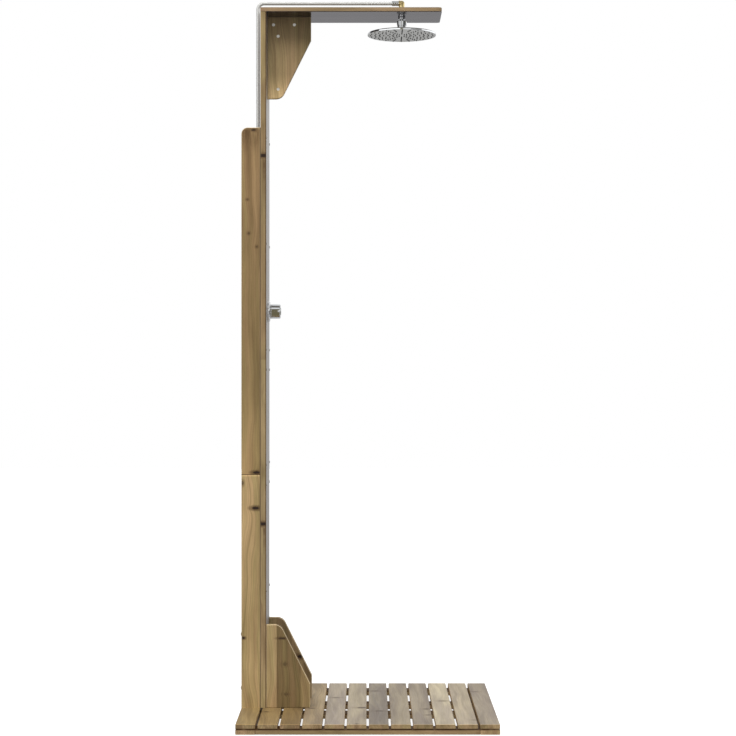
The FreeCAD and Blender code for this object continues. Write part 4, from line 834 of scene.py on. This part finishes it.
def hose_route():
    """The hose's centre line from the valve to the elbow, as pairs of a place and a direction."""
    x, y, top = HOSE_LOW.x + HOSE_RADIUS, (HOSE_LOW.y + HOSE_HIGH.y) / 2, HOSE_HIGH.z - HOSE_RADIUS
    bend_low = top - BEND_RADIUS
    route = []
    upright = bend_low - HOSE_LOW.z
    for i in range(UPRIGHT_STEPS + 1):
        route.append((Vector((x, y, HOSE_LOW.z + upright * i / UPRIGHT_STEPS)), Vector((0, 0, 1))))
    for i in range(1, BEND_STEPS + 1):
        angle = math.pi / 2 * i / BEND_STEPS
        place = Vector((x + BEND_RADIUS * (1 - math.cos(angle)), y, bend_low + BEND_RADIUS * math.sin(angle)))
        route.append((place, Vector((math.sin(angle), 0, math.cos(angle)))))
    start = x + BEND_RADIUS
    for i in range(1, LEVEL_STEPS + 1):
        route.append((Vector((start + (HOSE_HIGH.x - start) * i / LEVEL_STEPS, y, top)), Vector((1, 0, 0))))
    return route


def hose_skin(route):
    """Vertices and faces of the hose along its route, with a flat end at either side."""
    vertices, faces = [], []
    side = Vector((0, 1, 0))
    for place, direction in route:
        up = direction.cross(side)
        for i in range(HOSE_SEGMENTS):
            angle = 2 * math.pi * i / HOSE_SEGMENTS
            vertices.append(place + (side * math.cos(angle) + up * math.sin(angle)) * HOSE_RADIUS)
    for index in range(len(route) - 1):
        low, high = index * HOSE_SEGMENTS, (index + 1) * HOSE_SEGMENTS
        for i in range(HOSE_SEGMENTS):
            j = (i + 1) % HOSE_SEGMENTS
            faces.append([low + i, low + j, high + j, high + i])
    faces.append(list(range(HOSE_SEGMENTS - 1, -1, -1)))
    faces.append(list(range(len(vertices) - HOSE_SEGMENTS, len(vertices))))
    return vertices, faces


def unroll(hose, route):
    """Gives the hose its UV map: turns round it across, metres along it upwards."""
    lengths = [0.0]
    for (before, _), (place, _) in zip(route, route[1:]):
        lengths.append(lengths[-1] + (place - before).length)
    layer = hose.data.uv_layers.new(name="hose")
    for polygon in hose.data.polygons:
        columns = [hose.data.loops[k].vertex_index % HOSE_SEGMENTS for k in polygon.loop_indices]
        wraps = max(columns) == HOSE_SEGMENTS - 1 and min(columns) == 0
        for k, column in zip(polygon.loop_indices, columns):
            row = hose.data.loops[k].vertex_index // HOSE_SEGMENTS
            turn = HOSE_SEGMENTS if wraps and column == 0 else column
            layer.data[k].uv = (turn / HOSE_SEGMENTS, lengths[row])


def make_hose():
    route = hose_route()
    hose = make_object("riser_hose_braided", *hose_skin(route), BRAID, "stand", "hose_braid", 60.0)
    unroll(hose, route)
    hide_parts("riser_hose")


def make_ferrules():
    """The crimped sleeves at both ends of the hose, each with a raised band at either end."""
    sleeve = [(0.0, 5.8), (0.0, 7.5), (0.4, 7.9), (7.0, 7.9), (8.0, 7.6), (14.0, 7.6), (15.0, 7.9),
              (21.6, 7.9), (22.0, 7.5), (22.0, 5.8)]
    nut_height = 5 * MM
    route = hose_route()
    elbow_face = facing(route[-1][0], (-1, 0, 0))
    above_nut = Matrix.Translation(route[0][0] + Vector((0, 0, nut_height)))
    parts = [turned(rounded(sleeve, 0.3, 2), place, PIPE_SEGMENTS) for place in (elbow_face, above_nut)]
    ferrules = make_object("hose_ferrules_crimped", *joined(parts), CHROME, "stand", "bolt_steel")
    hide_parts("hose_ferrules")


# ---- Knob and escutcheon --------------------------------------------------------------------------


GRIP_RADIUS, GROOVE_RADIUS, KNOB_LENGTH, CAP_SEAT, CAP_RADIUS = 23.0, 22.6, 32.5, 29.5, 11.9


def knob_crown():
    """The grip's front half, whose outline falls away slightly towards the cap."""
    start, length, fall, steps = 14, 17, 0.6, 8
    return [(start + length * i / steps, GRIP_RADIUS - fall * (i / steps) ** 2) for i in range(steps + 1)]


def make_knob():
    low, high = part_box("valve_knob")
    matrix = facing_front(low, high)
    # From the spindle's hole over the rear face, round the grip with its groove, to the cap's seat.
    shell = [(16.0, 9.0), (1.0, 9.0), (1.0, 20.5), (0.0, 20.5), (0.0, 22.2), (0.8, GRIP_RADIUS),
             (3.0, GRIP_RADIUS), (3.3, GROOVE_RADIUS), (3.9, GROOVE_RADIUS), (4.2, GRIP_RADIUS),
             *knob_crown(), (KNOB_LENGTH, 21.2), (KNOB_LENGTH, 12.3), (31.9, 12.0), (CAP_SEAT, 12.0)]
    knob = lathe("valve_knob_turned", rounded(shell, 0.35, 3, HOLD), matrix, CHROME, "knob",
                 "polished_chrome", KNOB_SEGMENTS)
    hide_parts("valve_knob")
    lid = [(CAP_SEAT, CAP_RADIUS), (33.6, CAP_RADIUS), (34.5, 11.0), (34.5, 0.0)]
    cap = lathe("knob_cap_turned", rounded(lid, 0.5, 4, HOLD), matrix, CHROME, "knob", "polished_chrome")
    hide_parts("knob_cap")


def make_escutcheon():
    low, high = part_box("escutcheon")
    cup = [(0.0, 32.2), (0.0, 33.5), (4.6, 33.5), (7.0, 31.2), (7.0, 14.1), (5.8, 14.1)]
    made = lathe("escutcheon_turned", rounded(cup, 0.9, 4, HOLD), facing_front(low, high), COVER, "stand",
                 "polished_chrome", KNOB_SEGMENTS)
    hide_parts("escutcheon")


# ---- Floor, light, camera -------------------------------------------------------------------------

WHITE = (1, 1, 1, 1)

# The light of the surroundings by height: -1 is straight down, 0 the horizon, 1 straight up.
SKY = ((-1.0, 0.16), (-0.15, 0.22), (0.10, 0.42), (0.55, 0.85), (1.0, 0.95))

# What metal mirrors where no panel stands: low down and high up on the camera's side, then the greys
# of the far side just below and just above the horizon.
NEAR_LOW, NEAR_HIGH = srgb(118, 110, 84), srgb(128, 126, 120)
FAR_GREY_LOW, FAR_GREY_HIGH = 0.46, 0.74

# The panels that metal mirrors: azimuth from and to in degrees (0 the camera's side, 90 the right),
# height from and to (-1 to 1), and brightness. A later panel covers an earlier one.
STUDIO = (
    (-60, 60, 0.66, 0.90, 0.9),
    (-84, -6, 0.05, 0.36, 1.5),
    (-84, -6, -0.16, 0.05, 0.7),
    (3, 30, -0.16, 0.36, 0.9),
    (-184, -20, -1.10, -0.36, 0.6),
    (20, 184, -1.10, -0.36, 0.6),
    (-60, -6, -0.40, -0.18, 1.5),
    (8, 60, -0.40, -0.18, 1.2),
    (30, 70, 0.05, 0.36, 0.42),
    (70, 152, 0.10, 0.40, 1.5),
    (66, 110, -0.30, 0.04, 0.12),
    (-134, -84, -0.30, 0.50, 0.01),
    (36, 76, -0.30, 0.12, 0.10),
)
# How soft the panels' edges are, in degrees and in height.
EDGE_DEGREES, EDGE_HEIGHT = 2, 0.02

# Each area light's place, the place it looks at, its width and height, and its power in watts.
LIGHTS = {
    "key": ((-0.8, -2.3, 5.4), (0, 0, 1.3), (2.2, 2.2), 150),
    "fill": ((3.4, -1.6, 1.6), (0, 0, 1.2), (1.6, 2.8), 22),
}

# The photo's camera, level and square to the arm; lens and sensor in millimetres.
CAMERA_PLACE, CAMERA_LENS, SENSOR_WIDTH, CAMERA_REACH = (0.001, -5.789, 1.1075), 88.04, 36.0, 100.0

# The floor's half side, the greys that it is speckled with and its own glow.
FLOOR_REACH, FLOOR_GREYS, FLOOR_GLOW = 14.0, (0.46, 0.50), 0.80


def make_floor():
    """A pale floor that only the camera sees, bright enough to end in plain white."""
    mesh = bpy.data.meshes.new("floor")
    corners = [(x * FLOOR_REACH, y * FLOOR_REACH, 0) for x, y in ((-1, -1), (1, -1), (1, 1), (-1, 1))]
    mesh.from_pydata(corners, [], [(0, 1, 2, 3)])
    s = Shader("pale_floor")
    speckle = s.noise(s.coordinates.outputs["Object"], 2.0, scale=40.0)
    colour = s.mix(speckle, *((grey, grey, grey, 1.0) for grey in FLOOR_GREYS))
    mesh.materials.append(s.finish(Base_Color=colour, Roughness=0.9, Emission_Color=WHITE,
                                   Emission_Strength=FLOOR_GLOW))
    floor = bpy.data.objects.new("floor", mesh)
    floor.visible_diffuse = False
    floor.visible_glossy = False
    bpy.context.scene.collection.objects.link(floor)


def make_light(name, centre, target, size, power):
    """An area light that reflections don't show."""
    data = bpy.data.lights.new(name, "AREA")
    data.shape = "RECTANGLE"
    data.size, data.size_y = size
    data.energy = power
    light = bpy.data.objects.new(name, data)
    light.location = centre
    aim = Vector(target) - Vector(centre)
    light.rotation_mode = "QUATERNION"
    light.rotation_quaternion = aim.to_track_quat("-Z", "Y")
    light.visible_glossy = False
    bpy.context.scene.collection.objects.link(light)


def mirrored_studio(s, x, y, z):
    """What reflections show of the surroundings."""
    azimuth = s.times(s.math("ARCTAN2", x, s.times(y, -1.0)), 180 / math.pi)
    grey = s.span(z, -0.22, 0.22, FAR_GREY_LOW, FAR_GREY_HIGH)
    seen = s.mix(s.span(z, 0.35, 0.70), NEAR_LOW, NEAR_HIGH)
    seen = s.mix(s.span(y, 0.1, 0.4), seen, s.vector(grey, grey, grey))
    for left, right, low, high, level in STUDIO:
        inside = s.times(s.span(azimuth, left - EDGE_DEGREES, left + EDGE_DEGREES),
                         s.span(azimuth, right + EDGE_DEGREES, right - EDGE_DEGREES),
                         s.span(z, low - EDGE_HEIGHT, low + EDGE_HEIGHT),
                         s.span(z, high + EDGE_HEIGHT, high - EDGE_HEIGHT))
        seen = s.mix(inside, seen, (level, level, level, 1))
    return seen


def make_world():
    """Studio surroundings: soft light from above, panels for reflections, and a plain white backdrop."""
    s = Shader("studio", bpy.data.worlds)
    x, y, z = s.split(s.coordinates.outputs["Generated"])
    soft = s.ramp(s.span(z, -1.0, 1.0, smooth=False), *(((height + 1) / 2, level) for height, level in SKY))
    path = s.node("LightPath").outputs
    colour = s.mix(path["Is Glossy Ray"], soft, mirrored_studio(s, x, y, z))
    colour = s.mix(path["Is Camera Ray"], colour, WHITE)
    s.node("OutputWorld", {"Surface": s.node("Background", {"Color": colour}).outputs[0]})
    bpy.context.scene.world = s.owner


def make_camera():
    camera_data = bpy.data.cameras.new("camera")
    camera_data.sensor_width = SENSOR_WIDTH
    camera_data.lens = CAMERA_LENS
    camera_data.clip_end = CAMERA_REACH
    camera = bpy.data.objects.new("camera", camera_data)
    camera.location = CAMERA_PLACE
    camera.rotation_euler = (math.pi / 2, 0, 0)
    bpy.context.scene.collection.objects.link(camera)
    bpy.context.scene.camera = camera


dress_platform()
dress_post()
dress_arm_and_gussets()
dress_fittings()
make_head_back()
make_head_face()
make_nozzles()
make_swivel()
make_elbow()
make_hose()
make_ferrules()
make_knob()
make_escutcheon()
make_floor()
make_world()
for light_name, light_values in LIGHTS.items():
    make_light(light_name, *light_values)
make_camera()
bpy.context.scene.view_settings.view_transform = "Standard"
